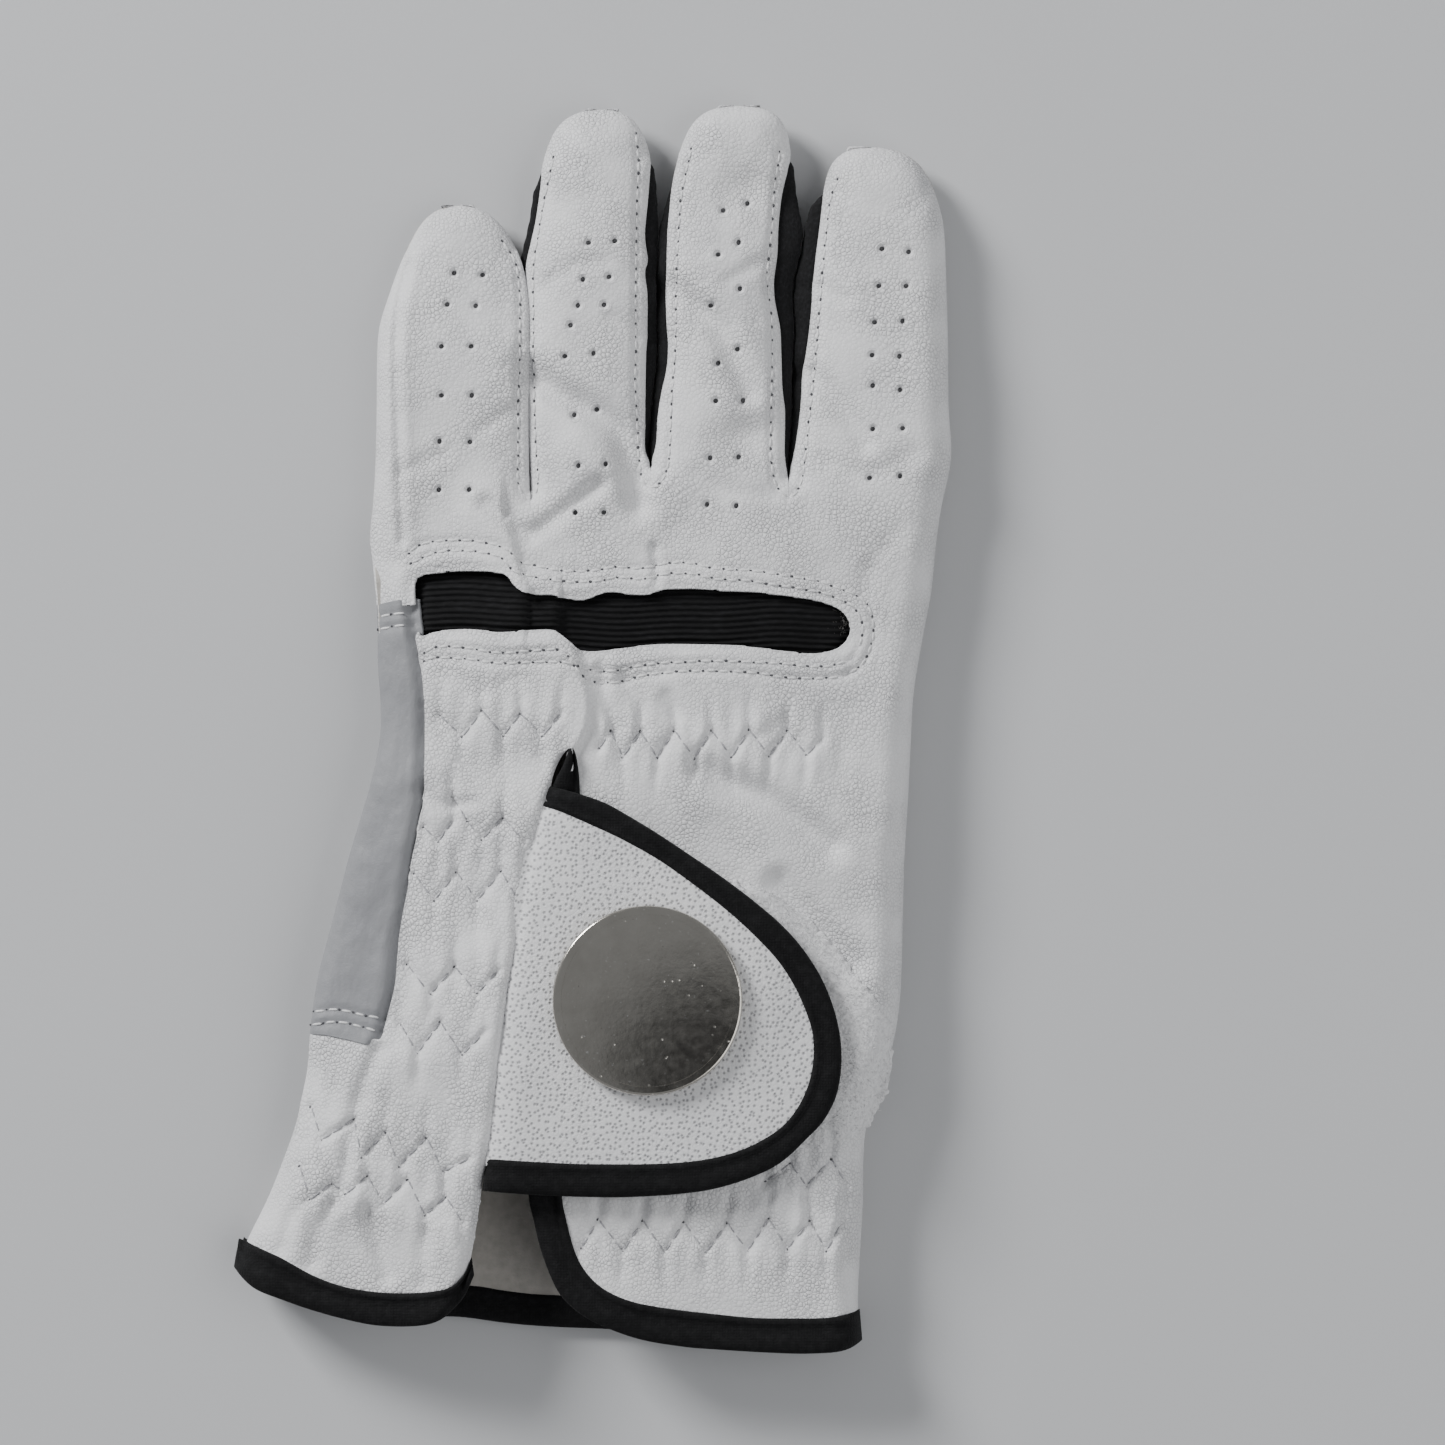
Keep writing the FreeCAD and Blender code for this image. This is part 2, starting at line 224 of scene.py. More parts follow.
FINGERS = {
    "index": (LEFT, INDEX_RIGHT, 84.5, ("wall", "lip")),
    "middle": (MIDDLE_LEFT, MIDDLE_RIGHT, 100.0, ("lip", "lip")),
    "ring": (RING_LEFT, RING_RIGHT, 100.6, ("lip", "lip")),
    "little": (LITTLE_LEFT, RIGHT, 93.9, ("lip", "wall")),
}
JUNCTION = 34.0
CROTCHES = [(-10.1, 38.2), (9.4, 42.2), (31.6, 40.7)]

SLOT = smooth([
    (-28.8, 20.5), (-28.6, 23.6), (-27.6, 24.5), (-25, 25), (-20, 25.3), (-15.5, 25.1), (-13.6, 24.5),
    (-12.5, 23), (-11, 21.9), (-9, 21.5), (-6.5, 21.5), (-4, 20.8), (-1, 20.7), (1, 21.5), (3, 21.9),
    (6, 21.6), (9, 21.5), (11, 22.2), (15, 22.5), (20, 22.2), (25, 22), (30, 21.5), (35, 20.8), (38, 20),
    (40.2, 18.9), (41.4, 17.3), (41.7, 16), (41.3, 14.3), (40, 12.9), (38, 12.1), (35, 11.8), (30, 12.3),
    (25, 12.9), (20, 13.2), (12, 13.3), (8, 13), (4, 12.5), (0, 12.1), (-2, 12.5), (-3.5, 13.8),
    (-5.5, 15.2), (-7, 15.6), (-10, 15.5), (-15, 15.2), (-20, 15.7), (-25, 15.3), (-27.6, 14.6),
    (-28.2, 16.6),
], 0.4, closed=True)
STRIP_EDGE = smooth([
    (-3, -3.1), (-3.9, -4), (-4.9, -5.6), (-6, -8.5), (-7, -12), (-8, -15), (-9, -18.5), (-10, -23),
    (-10.8, -28), (-11.5, -33), (-12.5, -38), (-13.5, -44), (-14.5, -52), (-15.3, -60), (-15.8, -65),
    (-16.5, -68.5), (-17.5, -73), (-18.2, -78), (-19, -83), (-19.6, -86), (-20.4, -88.6), (-21.6, -91),
    (-22.6, -94), (-23.2, -98),
])
TAPE_INNER = smooth([
    (-3, -3.2), (-2.4, -5), (-1.9, -10.5), (-2.2, -24), (-3.4, -50), (-4.6, -68), (-4.8, -75),
    (-4, -79.5), (-2.8, -84), (-1.3, -87), (1, -89.5), (4, -91.3), (8, -92.6), (14, -93.6), (20, -94.3),
    (26, -94.9), (32, -95), (38, -94.9), (43.2, -94),
])
TAPE_OUTER = smooth([
    (-3.6, -3.4), (-4.6, -6), (-6.8, -11.5), (-7.6, -24), (-8.9, -50), (-10, -68), (-10.2, -75),
    (-9.3, -79.5), (-8.2, -84), (-6.6, -88.3), (-4.9, -91.4), (-2, -94.1), (2, -96.3), (8, -98.4),
    (15, -99.6), (20, -100), (28, -100.5), (35, -100.7), (40.5, -100.3), (43.6, -99),
])
LEFT_HEM_TOP = smooth([
    (-57.2, -82.6), (-55, -83.3), (-50, -85.3), (-45, -88), (-40, -89.8), (-35, -90.6), (-30, -90.8),
    (-25, -90.4), (-22.2, -89.5), (-20.3, -87.6), (-19.3, -85),
])
LEFT_HEM_LOW = smooth([
    (-58, -87.2), (-54.5, -90.2), (-50, -92), (-45, -93.7), (-40, -95), (-35, -96), (-30, -96.2),
    (-26, -95.7), (-23.3, -94.4), (-20.6, -91.6), (-18.9, -88),
])
PALM_HEM_TOP = smooth([
    (-56.5, -82.5), (-50, -85.6), (-45, -87.8), (-40, -89.3), (-30, -90.6), (-20, -90.5), (-15, -91.2),
    (-10, -91.8), (-5, -92.1), (4, -92.7), (14, -93.7), (26, -94.6), (36, -95), (43, -94.4),
])
PALM_HEM_LOW = smooth([
    (-57.6, -86.6), (-50, -90.6), (-45, -92.8), (-40, -94.4), (-30, -95.6), (-22, -95.6), (-15, -96.5),
    (-10, -97), (-5, -97.3), (4, -97.7), (14, -98.7), (26, -99.6), (36, -99.9), (43, -99),
])
PATCH_RIGHT = smooth([
    (-29.2, 20.6), (-28.6, 16), (-27.5, 10), (-27, 5), (-26.8, 0), (-26.9, -10), (-27.5, -15),
    (-28.5, -20), (-29.5, -26), (-30.3, -30), (-31, -35), (-31.5, -41), (-32.4, -45), (-33.5, -49),
    (-34.4, -51.3),
])
RIDGE = smooth([(-14, 33), (-13, 29), (-12, 24.5), (-10.5, 22)], 0.5)
RIDGE_LOW = smooth([(-5.2, 15.2), (-3.6, 13.2), (-2.2, 9), (-1.1, 5), (-1.2, 1), (-2.2, -1.6),
    (-3, -3.2)], 0.5)
TAB_OUTER = smooth([
    (-7.0, -9.3), (-1.8, -10.7), (2, -12), (5, -13.6), (10, -16.6), (15, -19.9), (20, -23.3), (25, -27),
    (30, -31.2), (33.5, -35), (36.5, -39.5), (38.5, -44), (39.8, -49), (40.1, -54), (39.3, -59),
    (37.3, -63), (34.5, -66), (30.5, -69.7), (26, -72), (20, -73.9), (14, -74.8), (6, -75.3), (0, -75.3),
    (-8, -75), (-17.6, -74.3),
])
TAB_INNER = smooth([
    (-8.2, -12.6), (-5, -13.5), (0, -15.7), (5, -18), (10, -20.8), (15, -24.2), (20, -28), (25, -32.3),
    (29.5, -37), (32.5, -41.5), (34.5, -46), (35.5, -50), (35.3, -55), (33.8, -59.5), (31, -63.5),
    (27, -66.3), (22, -68.3), (16, -69.5), (8, -69.9), (0, -69.9), (-8, -69.6), (-16.9, -69),
])
LOOP_EDGE = smooth([
    (22, -27.6), (24, -25.6), (26, -25.4), (28, -26), (33, -29.5), (38, -34), (42, -39), (45, -43),
    (47.4, -46.3), (48.4, -48), (48.5, -50), (48.3, -55), (47.5, -59), (45.7, -62.8), (44, -64.7),
    (40, -66.5), (36, -67.5), (30, -68), (24, -66), (22, -60),
], closed=True)
DISC = np.array([9.0, -43.7])


# ------------------------------------------------------------------ relief, painted on a raster

X0, X1, Y0, Y1, CELL = -66.0, 62.0, -108.0, 106.0, 0.25
GX = np.arange(X0, X1 + CELL, CELL)
GY = np.arange(Y0, Y1 + CELL, CELL)
MX, MY = np.meshgrid(GX, GY)


def mixed(field, i, j, u, v):
    """The value between four neighbours of a field, at the shares u and v."""
    low = field[j, i] * (1 - u) * (1 - v) + field[j, i + 1] * u * (1 - v)
    return low + field[j + 1, i] * (1 - u) * v + field[j + 1, i + 1] * u * v


def sample(field, x, y):
    """Bilinear value of a raster field."""
    fx = np.clip((x - X0) / CELL, 0, len(GX) - 1.001)
    fy = np.clip((y - Y0) / CELL, 0, len(GY) - 1.001)
    i, j = fx.astype(int), fy.astype(int)
    u, v = fx - i, fy - j
    return mixed(field, i, j, u, v)


def far(line, reach, out=None):
    """Raster of the distance to a line, out to reach."""
    d = np.full(MX.shape, 1e3) if out is None else out
    for a, b in zip(line[:-1], line[1:]):
        lo = np.minimum(a, b) - reach
        hi = np.maximum(a, b) + reach
        i0, i1 = np.clip(((np.array([lo[0], hi[0]]) - X0) / CELL).astype(int), 0, len(GX))
        j0, j1 = np.clip(((np.array([lo[1], hi[1]]) - Y0) / CELL).astype(int), 0, len(GY))
        if i1 <= i0 or j1 <= j0:
            continue
        px, py = MX[j0:j1, i0:i1] - a[0], MY[j0:j1, i0:i1] - a[1]
        ab = b - a
        t = np.clip((px * ab[0] + py * ab[1]) / max(ab @ ab, 1e-12), 0, 1)
        dist = np.hypot(px - t * ab[0], py - t * ab[1])
        window = d[j0:j1, i0:i1]
        np.minimum(window, dist, out=window)
    return d


def noise(scale_x, scale_y, seed, angle=0.0):
    """Smooth random field, about -1 to 1."""
    r = np.random.default_rng(seed)
    c, s = math.cos(angle), math.sin(angle)
    u = ((MX - X0) * c + (MY - Y0) * s) / scale_x + 400
    v = (-(MX - X0) * s + (MY - Y0) * c) / scale_y + 400
    lattice = r.uniform(-1, 1, (1024, 1024))
    i, j = np.floor(u).astype(int), np.floor(v).astype(int)
    fu, fv = ease(u - i), ease(v - j)
    i, j = i % 1023, j % 1023
    return mixed(lattice, i, j, fu, fv)


relief = np.zeros(MX.shape)


def crease(points, depth, width, lift=0.45):
    """A fold line: a valley with a soft shoulder on both sides."""
    global relief
    line = smooth(points, 1.0)
    d = far(line, width * 5)
    t = hill(d, width)
    relief += -depth * t + lift * depth * hill(d, 2.1 * width)


def bump(x, y, rx, ry, angle, height):
    """A soft hill, or a hollow if the height is negative."""
    global relief
    a = math.radians(angle)
    u = (MX - x) * math.cos(a) + (MY - y) * math.sin(a)
    v = -(MX - x) * math.sin(a) + (MY - y) * math.cos(a)
    relief += height * np.exp(-((u / rx) ** 2) - ((v / ry) ** 2))


# the folds, measured
crease([(-10, 57), (-5, 53.5), (1, 50.5), (4.5, 47), (6.5, 41), (7.5, 36)], 1.7, 2.5, 0.5)
bump(-2, 44, 5, 5, 0, 1.0)
crease([(1, 39), (-5, 34.5), (-10, 31)], 0.9, 1.6)
crease([(-17, 36), (-12, 32)], 0.8, 1.5)
crease([(12.5, 71), (17, 67.5), (21, 63.5), (25, 54)], 1.2, 2.2)
bump(24.5, 47, 4.5, 3.8, 20, -1.0)
bump(25, 87, 4.5, 3.5, 0, -0.8)
crease([(35.5, 57), (40, 52), (44, 46)], 0.9, 2.0)
crease([(37, 71), (41, 69)], 0.35, 1.4)
crease([(5, 8), (7.5, 4), (9, 0)], 0.6, 1.3)
crease([(12, 5), (15, 1), (17, -3)], 0.5, 1.3)
crease([(17, -6), (22, -9), (27, -11), (33, -15), (38, -19)], 1.35, 2.6)
crease([(30, -25), (36, -32), (42, -38)], 1.15, 2.4)
crease([(26, -2), (31, 1)], 0.3, 1.5)
crease([(10, 29), (10.4, 23.5)], 0.5, 0.9)
crease([(1.5, 10), (2, 4), (4, 0)], 0.5, 1.1)
crease([(-24, 9), (-18, 6), (-12, 8)], 0.25, 1.6)
crease([(-27.5, -10), (-24, -12.5), (-19, -12)], 0.45, 1.2)
crease([(-34.5, -52), (-36.5, -57), (-38, -63), (-39.4, -69), (-41, -76)], 0.9, 1.5, 0.5)
crease([(-33, -88), (-34.5, -83), (-36, -78)], 0.9, 1.6, 0.5)
crease([(-27, -89), (-27, -83), (-25.5, -78)], 0.5, 1.4)
crease([(-45, -86), (-44, -81), (-42, -77)], 0.6, 1.5)
crease([(-50, -84), (-48.5, -79), (-46, -76)], 0.4, 1.3)
crease([(-24, 44), (-31, 41)], 0.3, 1.4)
crease([(-14, 58), (-11, 62)], 0.25, 1.2)
crease([(-13, 51), (-18, 48)], 0.3, 1.3)
crease([(-8, 71), (-3, 74.5), (2, 75)], 0.28, 1.6)
crease([(3, 66), (7.5, 63)], 0.35, 1.3)
crease([(14, 80), (18, 77)], 0.28, 1.4)
crease([(27, 75), (22, 72)], 0.3, 1.4)
crease([(17, 41), (22, 38), (29, 37.5)], 0.3, 1.6)
crease([(38, 43), (45, 41), (52, 44)], 0.28, 1.8)
crease([(49, 31), (45, 26), (44, 22)], 0.3, 1.8)
crease([(-30.6, 30), (-31, 40), (-31.3, 50), (-31.6, 60), (-31.2, 68), (-29.8, 75)], 0.8, 0.9, 0.6)


ZIGZAGS = {
    "back": [(1.2, -3.4), (3, -0.5), (5, -4.8), (7.8, -0.6), (10.5, -4.8), (13.3, -0.5), (16.5, -4.9),
        (19.2, -0.4), (22.5, -4.7), (25.3, -0.3), (28.5, -4.6), (31.5, -0.4), (34.5, -4.4), (37, -1.8)],
    "strip_1": [(-24.5, 2), (-20.8, -1.5), (-17.6, 2.8), (-14.2, -1.3), (-11.5, 2.3), (-7.8, -1.3),
        (-5, 2.3)],
    "strip_2a": [(-27, -16), (-24.7, -18.3), (-22.3, -14.8)],
    "strip_2": [(-22.5, -11), (-20, -15), (-17.7, -18), (-14.2, -14.4), (-10.8, -18.3)],
    "strip_3": [(-28.5, -23.5), (-25.3, -27.8), (-21.8, -23.2), (-18.4, -27.8), (-14.5, -23), (-12, -27.4)],
    "strip_4": [(-29.7, -38), (-25.9, -42.8), (-22, -38.3), (-18.3, -42.6), (-14.9, -38.9)],
    "strip_5": [(-30.7, -47.7), (-28, -52.3), (-24.3, -47.2), (-20.8, -52.5), (-16.9, -48.6)],
    "cuff_left_1": [(-45.3, -61), (-43.5, -66.3), (-38.2, -63), (-37, -69), (-33, -65), (-31, -70.5),
        (-26.5, -65.8), (-23.8, -71.3), (-19.5, -69)],
    "cuff_left_2": [(-47, -70.5), (-45.3, -75.8), (-41.8, -73.3), (-39.5, -75), (-36, -72), (-33.5, -76.5),
        (-29.5, -72.5), (-26.8, -78.3), (-23.3, -75.3), (-20.6, -79.5)],
    "cuff_right_1": [(28, -73), (32, -70), (34.5, -73.8), (38.5, -69.3), (41, -73.8)],
    "cuff_right_2": [(-1.6, -83.7), (1, -79), (5, -84.2), (8.2, -79.2), (11.7, -84.4), (14.8, -79.5),
        (18.3, -84.4), (21.8, -79.6), (25, -84.2), (28.5, -78.9), (31.4, -84), (35, -79.2), (37.7, -84.2),
        (40, -80)],
}
ZIGZAGS = {name: np.array(row) for name, row in ZIGZAGS.items()}

FOLD_DEPTH, GATHER_DEPTH = 1.9, 1.5
relief *= FOLD_DEPTH / GATHER_DEPTH
# leather gathered between the zigzag's stitches
for number, row in enumerate(ZIGZAGS.values()):
    middle = even(smooth(0.5 * (row[:-1] + row[1:]), 1.0) if len(row) > 2 else row, step=2.0)
    d = far(middle, 16)
    gather = noise(2.6, 13.0, 40 + number, math.radians(5 * math.sin(number * 2.1)))
    relief += 0.42 * gather * hill(d, 5.5)
    for k, (x, y) in enumerate(row):
        side = 1 if y >= row[max(k - 1, 0)][1] else -1
        lean = rng.uniform(-12, 12)
        bump(x, y + 2.2 * side, 0.75, 3.2, lean, -0.33)
    for (xa, ya), (xb, yb) in zip(row[:-1], row[1:]):
        bump(0.5 * (xa + xb), 0.5 * (ya + yb) + 3, 1.1, 3.0, rng.uniform(-10, 10), 0.22)
        bump(0.5 * (xa + xb), 0.5 * (ya + yb) - 3, 1.1, 3.0, rng.uniform(-10, 10), 0.22)
    relief -= 0.42 * hill(far(row, 4), 0.65)

relief *= GATHER_DEPTH
relief += 0.55 * noise(17, 14, 3) + 0.26 * noise(7, 6, 4) + 0.08 * noise(3.2, 3.0, 5)

KNUCKLE_ROWS = {
    "above_outer": [(-29.5, 28), (-28, 29.3), (-25, 30), (-20, 30.1), (-16, 29.5), (-13.5, 28.5),
        (-12, 26.8), (-10, 26.2), (-5, 25.2), (0, 25.2), (4, 25.8), (8, 25.6), (12, 26.4), (16, 26.4),
        (20, 25.5), (25, 25.3), (30, 24.6), (35, 23.8), (38, 23), (43, 21), (44.7, 19), (45.3, 16),
        (44.8, 13), (43.4, 10.2), (41, 8.6)],
    "above_inner": [(-29.2, 26.4), (-25, 28.2), (-20, 28.4), (-16.3, 27.9), (-14.2, 27), (-12.6, 25.2),
        (-10.4, 24.5), (-5, 23.5), (0, 23.5), (4, 24.1), (8, 23.9), (12, 24.7), (16, 24.7), (20, 23.9),
        (25, 23.6), (30, 22.9), (35, 22.1), (38, 21.4), (41.8, 19.6), (43.2, 17.6), (43.6, 15.6),
        (43.1, 13.4), (42.2, 11.8)],
    "below_inner": [(-27, 12), (-25, 13), (-20, 12.8), (-15, 12), (-10, 12.3), (-5, 12.5), (-3.8, 11.5),
        (-2.5, 10), (0, 9.2), (4, 9.2), (8, 10), (14, 10.5), (20, 10.7), (30, 10.3), (37, 9.8),
        (42.2, 11.0)],
    "below_outer": [(-27, 10.7), (-25, 11.3), (-20, 11), (-15, 10.3), (-10, 10.5), (-5, 10.5), (-3, 10),
        (-1.5, 8.3), (0, 7.3), (4, 7.3), (8, 8.3), (14, 9), (20, 9.1), (26, 8.8), (32, 8), (38, 8),
        (41, 8.6)],
}
PATCH_ROWS = {
    "top_1": [(-34.5, 17.8), (-32, 18.3), (-29, 18.6)],
    "top_2": [(-34.5, 15.8), (-32, 16.3), (-28.8, 16.6)],
    "low_1": [(-45.0, -45.8), (-41, -45.4), (-37, -46.2), (-33, -47)],
    "low_2": [(-45.4, -48), (-41, -47.4), (-37, -48.2), (-33.6, -49.2)],
}
hand_rows = {k: smooth(v, 0.5) for k, v in {**KNUCKLE_ROWS, **PATCH_ROWS}.items()}

FINGER_ROWS = {
    "index": [[(-14.6, 78.6), (-12.9, 76), (-12, 73), (-11.7, 68), (-11.7, 60), (-11.9, 52), (-12, 44),
        (-12, 40), (-11.4, 37.8), (-10.2, 36.7)]],
    "middle": [
        [(-6.3, 92), (-7.1, 88), (-8, 84), (-8.8, 79), (-9.5, 74), (-9.5, 66), (-9.4, 56), (-9.1, 46),
            (-8.7, 40.5), (-9.1, 37.6), (-10.2, 36.7)],
        [(7, 96), (7.4, 91), (7.2, 85), (7.1, 78), (7, 70), (7, 62), (6.9, 56), (7.2, 50), (7.5, 44),
            (8, 40.4), (9, 39)],
    ],
    "ring": [
        [(16, 93.5), (15, 89), (14.3, 85), (13.8, 78), (13.6, 72), (13.5, 66), (13.4, 60), (12.9, 54),
            (12.6, 47), (12.3, 42.5), (11.4, 40), (10.2, 38.7), (9, 39)],
        [(30.2, 93), (29.4, 87), (29, 81), (28.2, 73), (28.9, 66), (29, 59), (28.8, 50), (28.8, 44),
            (29.3, 40), (30.3, 38), (31.6, 37.1)],
    ],
    "little": [[(39.6, 88.5), (38.4, 85), (37.8, 80), (37.3, 75), (36.5, 65), (35.8, 57), (35, 50),
        (34.4, 44), (33.8, 40), (32.9, 37.9), (31.6, 37.1)]],
}
finger_rows = {k: [smooth(r, 0.5) for r in rows] for k, rows in FINGER_ROWS.items()}

# the leather is pulled down along each stitch row
for row in hand_rows.values():
    relief -= 0.42 * hill(far(row, 3), 0.6)
for rows in finger_rows.values():
    for row in rows:
        d = far(row, 4)
        relief += -0.45 * hill(d, 0.6) + 0.2 * hill(d, 1.8)

# the leather steps down to the right of the ridge that runs up from the slit
for line, height in ((RIDGE, 1.3), (RIDGE_LOW, 1.5)):
    d = far(line, 14)
    x_line = np.interp(MY, line[::-1, 1], line[::-1, 0])
    left_of = MX < x_line
    relief += height * np.where(left_of, hill(d, 7.0), hill(d, 0.9))

# the slot's turned edge
d = far(np.vstack([SLOT, SLOT[:1]]), 8)
relief += 0.35 * hill(d - 2.2, 1.4) - 0.30 * hill(d, 1.3)

CROWN = np.array([
    (-23, 80, 8.2), (-23, 65, 9.4), (-22, 50, 9.8), (-1, 95, 8.6), (0, 80, 9.3), (-1, 65, 9.6),
    (-1, 50, 9.8), (22, 95, 8.6), (21, 80, 9.2), (21, 65, 9.6), (21, 50, 9.8), (46, 88, 8.2),
    (47, 75, 9.0), (46, 60, 9.4), (45, 48, 9.6), (-22, 34, 10.6), (0, 34, 10.6), (21, 34, 10.4),
    (45, 34, 10.0), (-22, 22, 11.4), (0, 22, 11.6), (20, 22, 11.4), (46, 20, 10.2), (-20, 5, 12.2),
    (5, 5, 12.2), (22, 4, 12.2), (44, 2, 10.8), (-20, -18, 13.2), (0, -12, 12.6), (22, -14, 12.6),
    (42, -18, 11.0), (-22, -40, 14.2), (0, -40, 12.8), (20, -40, 12.8), (42, -44, 11.2), (-25, -60, 14.2),
    (0, -62, 12.6), (20, -62, 12.6), (38, -68, 11.2), (-28, -76, 13.6), (-40, -72, 12.4),
    (-50, -82, 10.6), (-30, -92, 12.8), (0, -84, 12.2), (20, -84, 12.2), (38, -84, 11.4), (20, -98, 12.0),
    (40, -98, 11.4), (-34, 12, 10.4), (-32, -10, 10.8), (-38, -30, 10.6), (-42, -48, 11.0), (-34, 30, 9.6),
])


def crown(x, y):
    """Height of the back of the glove away from its edges."""
    total = np.zeros_like(x)
    weight = np.zeros_like(x)
    for cx, cy, cz in CROWN:
        w = np.exp(-(((x - cx) / 11.0) ** 2 + ((y - cy) / 11.0) ** 2)) + 1e-12
        total += w * cz
        weight += w
    return total / weight


crown_raster = crown(MX, MY)

WALL_Z = 3.6
FLOOR_Z = 0.45


def left_wall_z(y):
    """Height of the glove's left outline."""
    places = [-100, -88, -78, -60, -48, 10, 22, 36, 60, 90]
    return np.interp(y, places, [5.0, 5.0, 5.6, 7.0, 7.6, 7.6, 6.4, 4.2, WALL_Z, WALL_Z])


def right_wall_z(y):
    return np.interp(y, [-105, -90, -60, 0, 90], [5.4, 5.0, 4.2, WALL_Z, WALL_Z])


def column(edge, y_from, y_to, step=0.6):
    """A measured edge as a polyline between two heights."""
    y = np.arange(y_from, y_to + step, step)
    y[-1] = y_to
    return joined(edge(y), y)


WALL_LEFT = column(LEFT, -104, 84.5)
WALL_RIGHT = column(RIGHT, -104, 93.9)


def tip_line(name):
    left, right, top, _ = FINGERS[name]
    start = top - 7.0
    a, b = column(left, start, top, 0.2), column(right, start, top, 0.2)
    return np.vstack([a, b[::-1]])


LIPS = {
    ("index", 1): (column(INDEX_RIGHT, 38.2, 80), 3.0),
    ("middle", 0): (column(MIDDLE_LEFT, 38.2, 95), 4.2),
    ("middle", 1): (column(MIDDLE_RIGHT, 42.2, 95), 3.4),
    ("ring", 0): (column(RING_LEFT, 42.2, 95), 3.6),
    ("ring", 1): (column(RING_RIGHT, 40.7, 95), 3.4),
    ("little", 0): (column(LITTLE_LEFT, 40.7, 90), 3.6),
}


def back_height(x, y, owner):
    """Top of the leather. owner is a finger's name, or hand."""
    p = joined(x, y)
    base = sample(crown_raster, x, y)
    fade = ease((y - JUNCTION) / 6.0)
    drops = []
    left_d = np.maximum(x - LEFT(y), 0)
    right_d = np.maximum(RIGHT(y) - x, 0)
    if owner in ("hand", "index"):
        reach = np.interp(y, [-90, -60, 20, 40, 60], [9, 12, 9, 5.0, 5.0])
        d = np.minimum(left_d, nearest(p, WALL_LEFT)[0] if owner == "index" else left_d)
        drops.append((base - left_wall_z(y)) * (1 - quarter(d / reach)))
    if owner in ("hand", "little"):
        d = np.minimum(right_d, nearest(p, WALL_RIGHT)[0] if owner == "little" else right_d)
        drops.append((base - right_wall_z(y)) * (1 - quarter(d / 5.5)))
    for (name, _), (line, drop) in LIPS.items():
        share = 1.0 if name == owner else 1 - fade
        if np.max(share) <= 0:
            continue
        d, _ = nearest(p, line)
        drops.append(share * drop * (1 - quarter(d / 7.5)))
    still = 1.0
    if owner != "hand":
        d, _ = nearest(p, tip_line(owner))
        drops.append((base - 4.0) * (1 - quarter(d / 8.0)))
        still = ease(d / 3.0)
    total = np.zeros(len(x))
    for drop in drops:
        total += np.maximum(drop, 0) ** 4
    z = base - total**0.25
    low = hill(np.maximum(base - z - 1.5, 0), 2.5)
    return z + sample(relief, x, y) * (0.35 + 0.65 * low) * still


def strip_roll(x, y):
    """Extra height of the strip beside the slit: it climbs over the tab's root and rolls down at its edge."""
    d, _ = nearest(joined(x, y), STRIP_EDGE)
    left_of = (x < np.interp(y, STRIP_EDGE[::-1, 1], STRIP_EDGE[::-1, 0])) & (y < -3)
    fade = ease((-3 - y) / 9.0)
    rise = 1.9 * hill(d, 7.0) * fade
    roll = 2.2 * (1 - quarter(d / 2.4)) * ease((-3 - y) / 3.0)
    return np.where(left_of, rise - roll, 0.0)


# ------------------------------------------------------------------ meshes


def grid_triangles(rows, columns):
    """Two triangles for each cell of a grid of vertices stored row by row."""
    i = np.arange(rows - 1)[:, None] * columns + np.arange(columns - 1)[None]
    a, b, c, e = i, i + 1, i + columns + 1, i + columns
    t1 = np.stack([a, b, c], axis=-1).reshape(-1, 3)
    t2 = np.stack([a, c, e], axis=-1).reshape(-1, 3)
    return np.vstack([t1, t2])


def clip(vertices, triangles, value):
    """The part of a mesh where value is at most 0, cut cleanly along value 0."""
    value = np.where(np.abs(value) < 0.03, 0.0, value)
    keep = value <= 0
    count = keep[triangles].sum(1)
    whole = triangles[count == 3]
    extra, made, faces = [], {}, []

    def crossing(a, b):
        key = (a, b) if a < b else (b, a)
        if key not in made:
            t = value[a] / (value[a] - value[b])
            made[key] = len(vertices) + len(extra)
            extra.append(vertices[a] * (1 - t) + vertices[b] * t)
        return made[key]

    for tri in triangles[(count > 0) & (count < 3)]:
        k = keep[tri]
        if k.sum() == 1:
            i = int(np.argmax(k))
            a, b, c = tri[i], tri[(i + 1) % 3], tri[(i + 2) % 3]
            if value[a] < 0:
                faces.append((a, crossing(a, b), crossing(a, c)))
        else:
            i = int(np.argmin(k))
            c, a, b = tri[i], tri[(i + 1) % 3], tri[(i + 2) % 3]
            p = crossing(b, c) if value[b] < 0 else b
            q = crossing(a, c) if value[a] < 0 else a
            faces.append((a, b, p))
            if q != a and p != q:
                faces.append((a, p, q))
    all_vertices = np.vstack([vertices, np.array(extra)]) if extra else vertices
    all_faces = np.vstack([whole, np.array(faces)]) if faces else whole
    used = np.unique(all_faces)
    remap = np.full(len(all_vertices), -1)
    remap[used] = np.arange(len(used))
    return all_vertices[used], remap[all_faces]


def normals(vertices, triangles):
    a, b, c = (vertices[triangles[:, k]] for k in range(3))
    n = np.cross(b - a, c - a)
    out = np.zeros_like(vertices)
    for k in range(3):
        np.add.at(out, triangles[:, k], n)
    return out / np.maximum(np.linalg.norm(out, axis=1), 1e-12)[:, None]


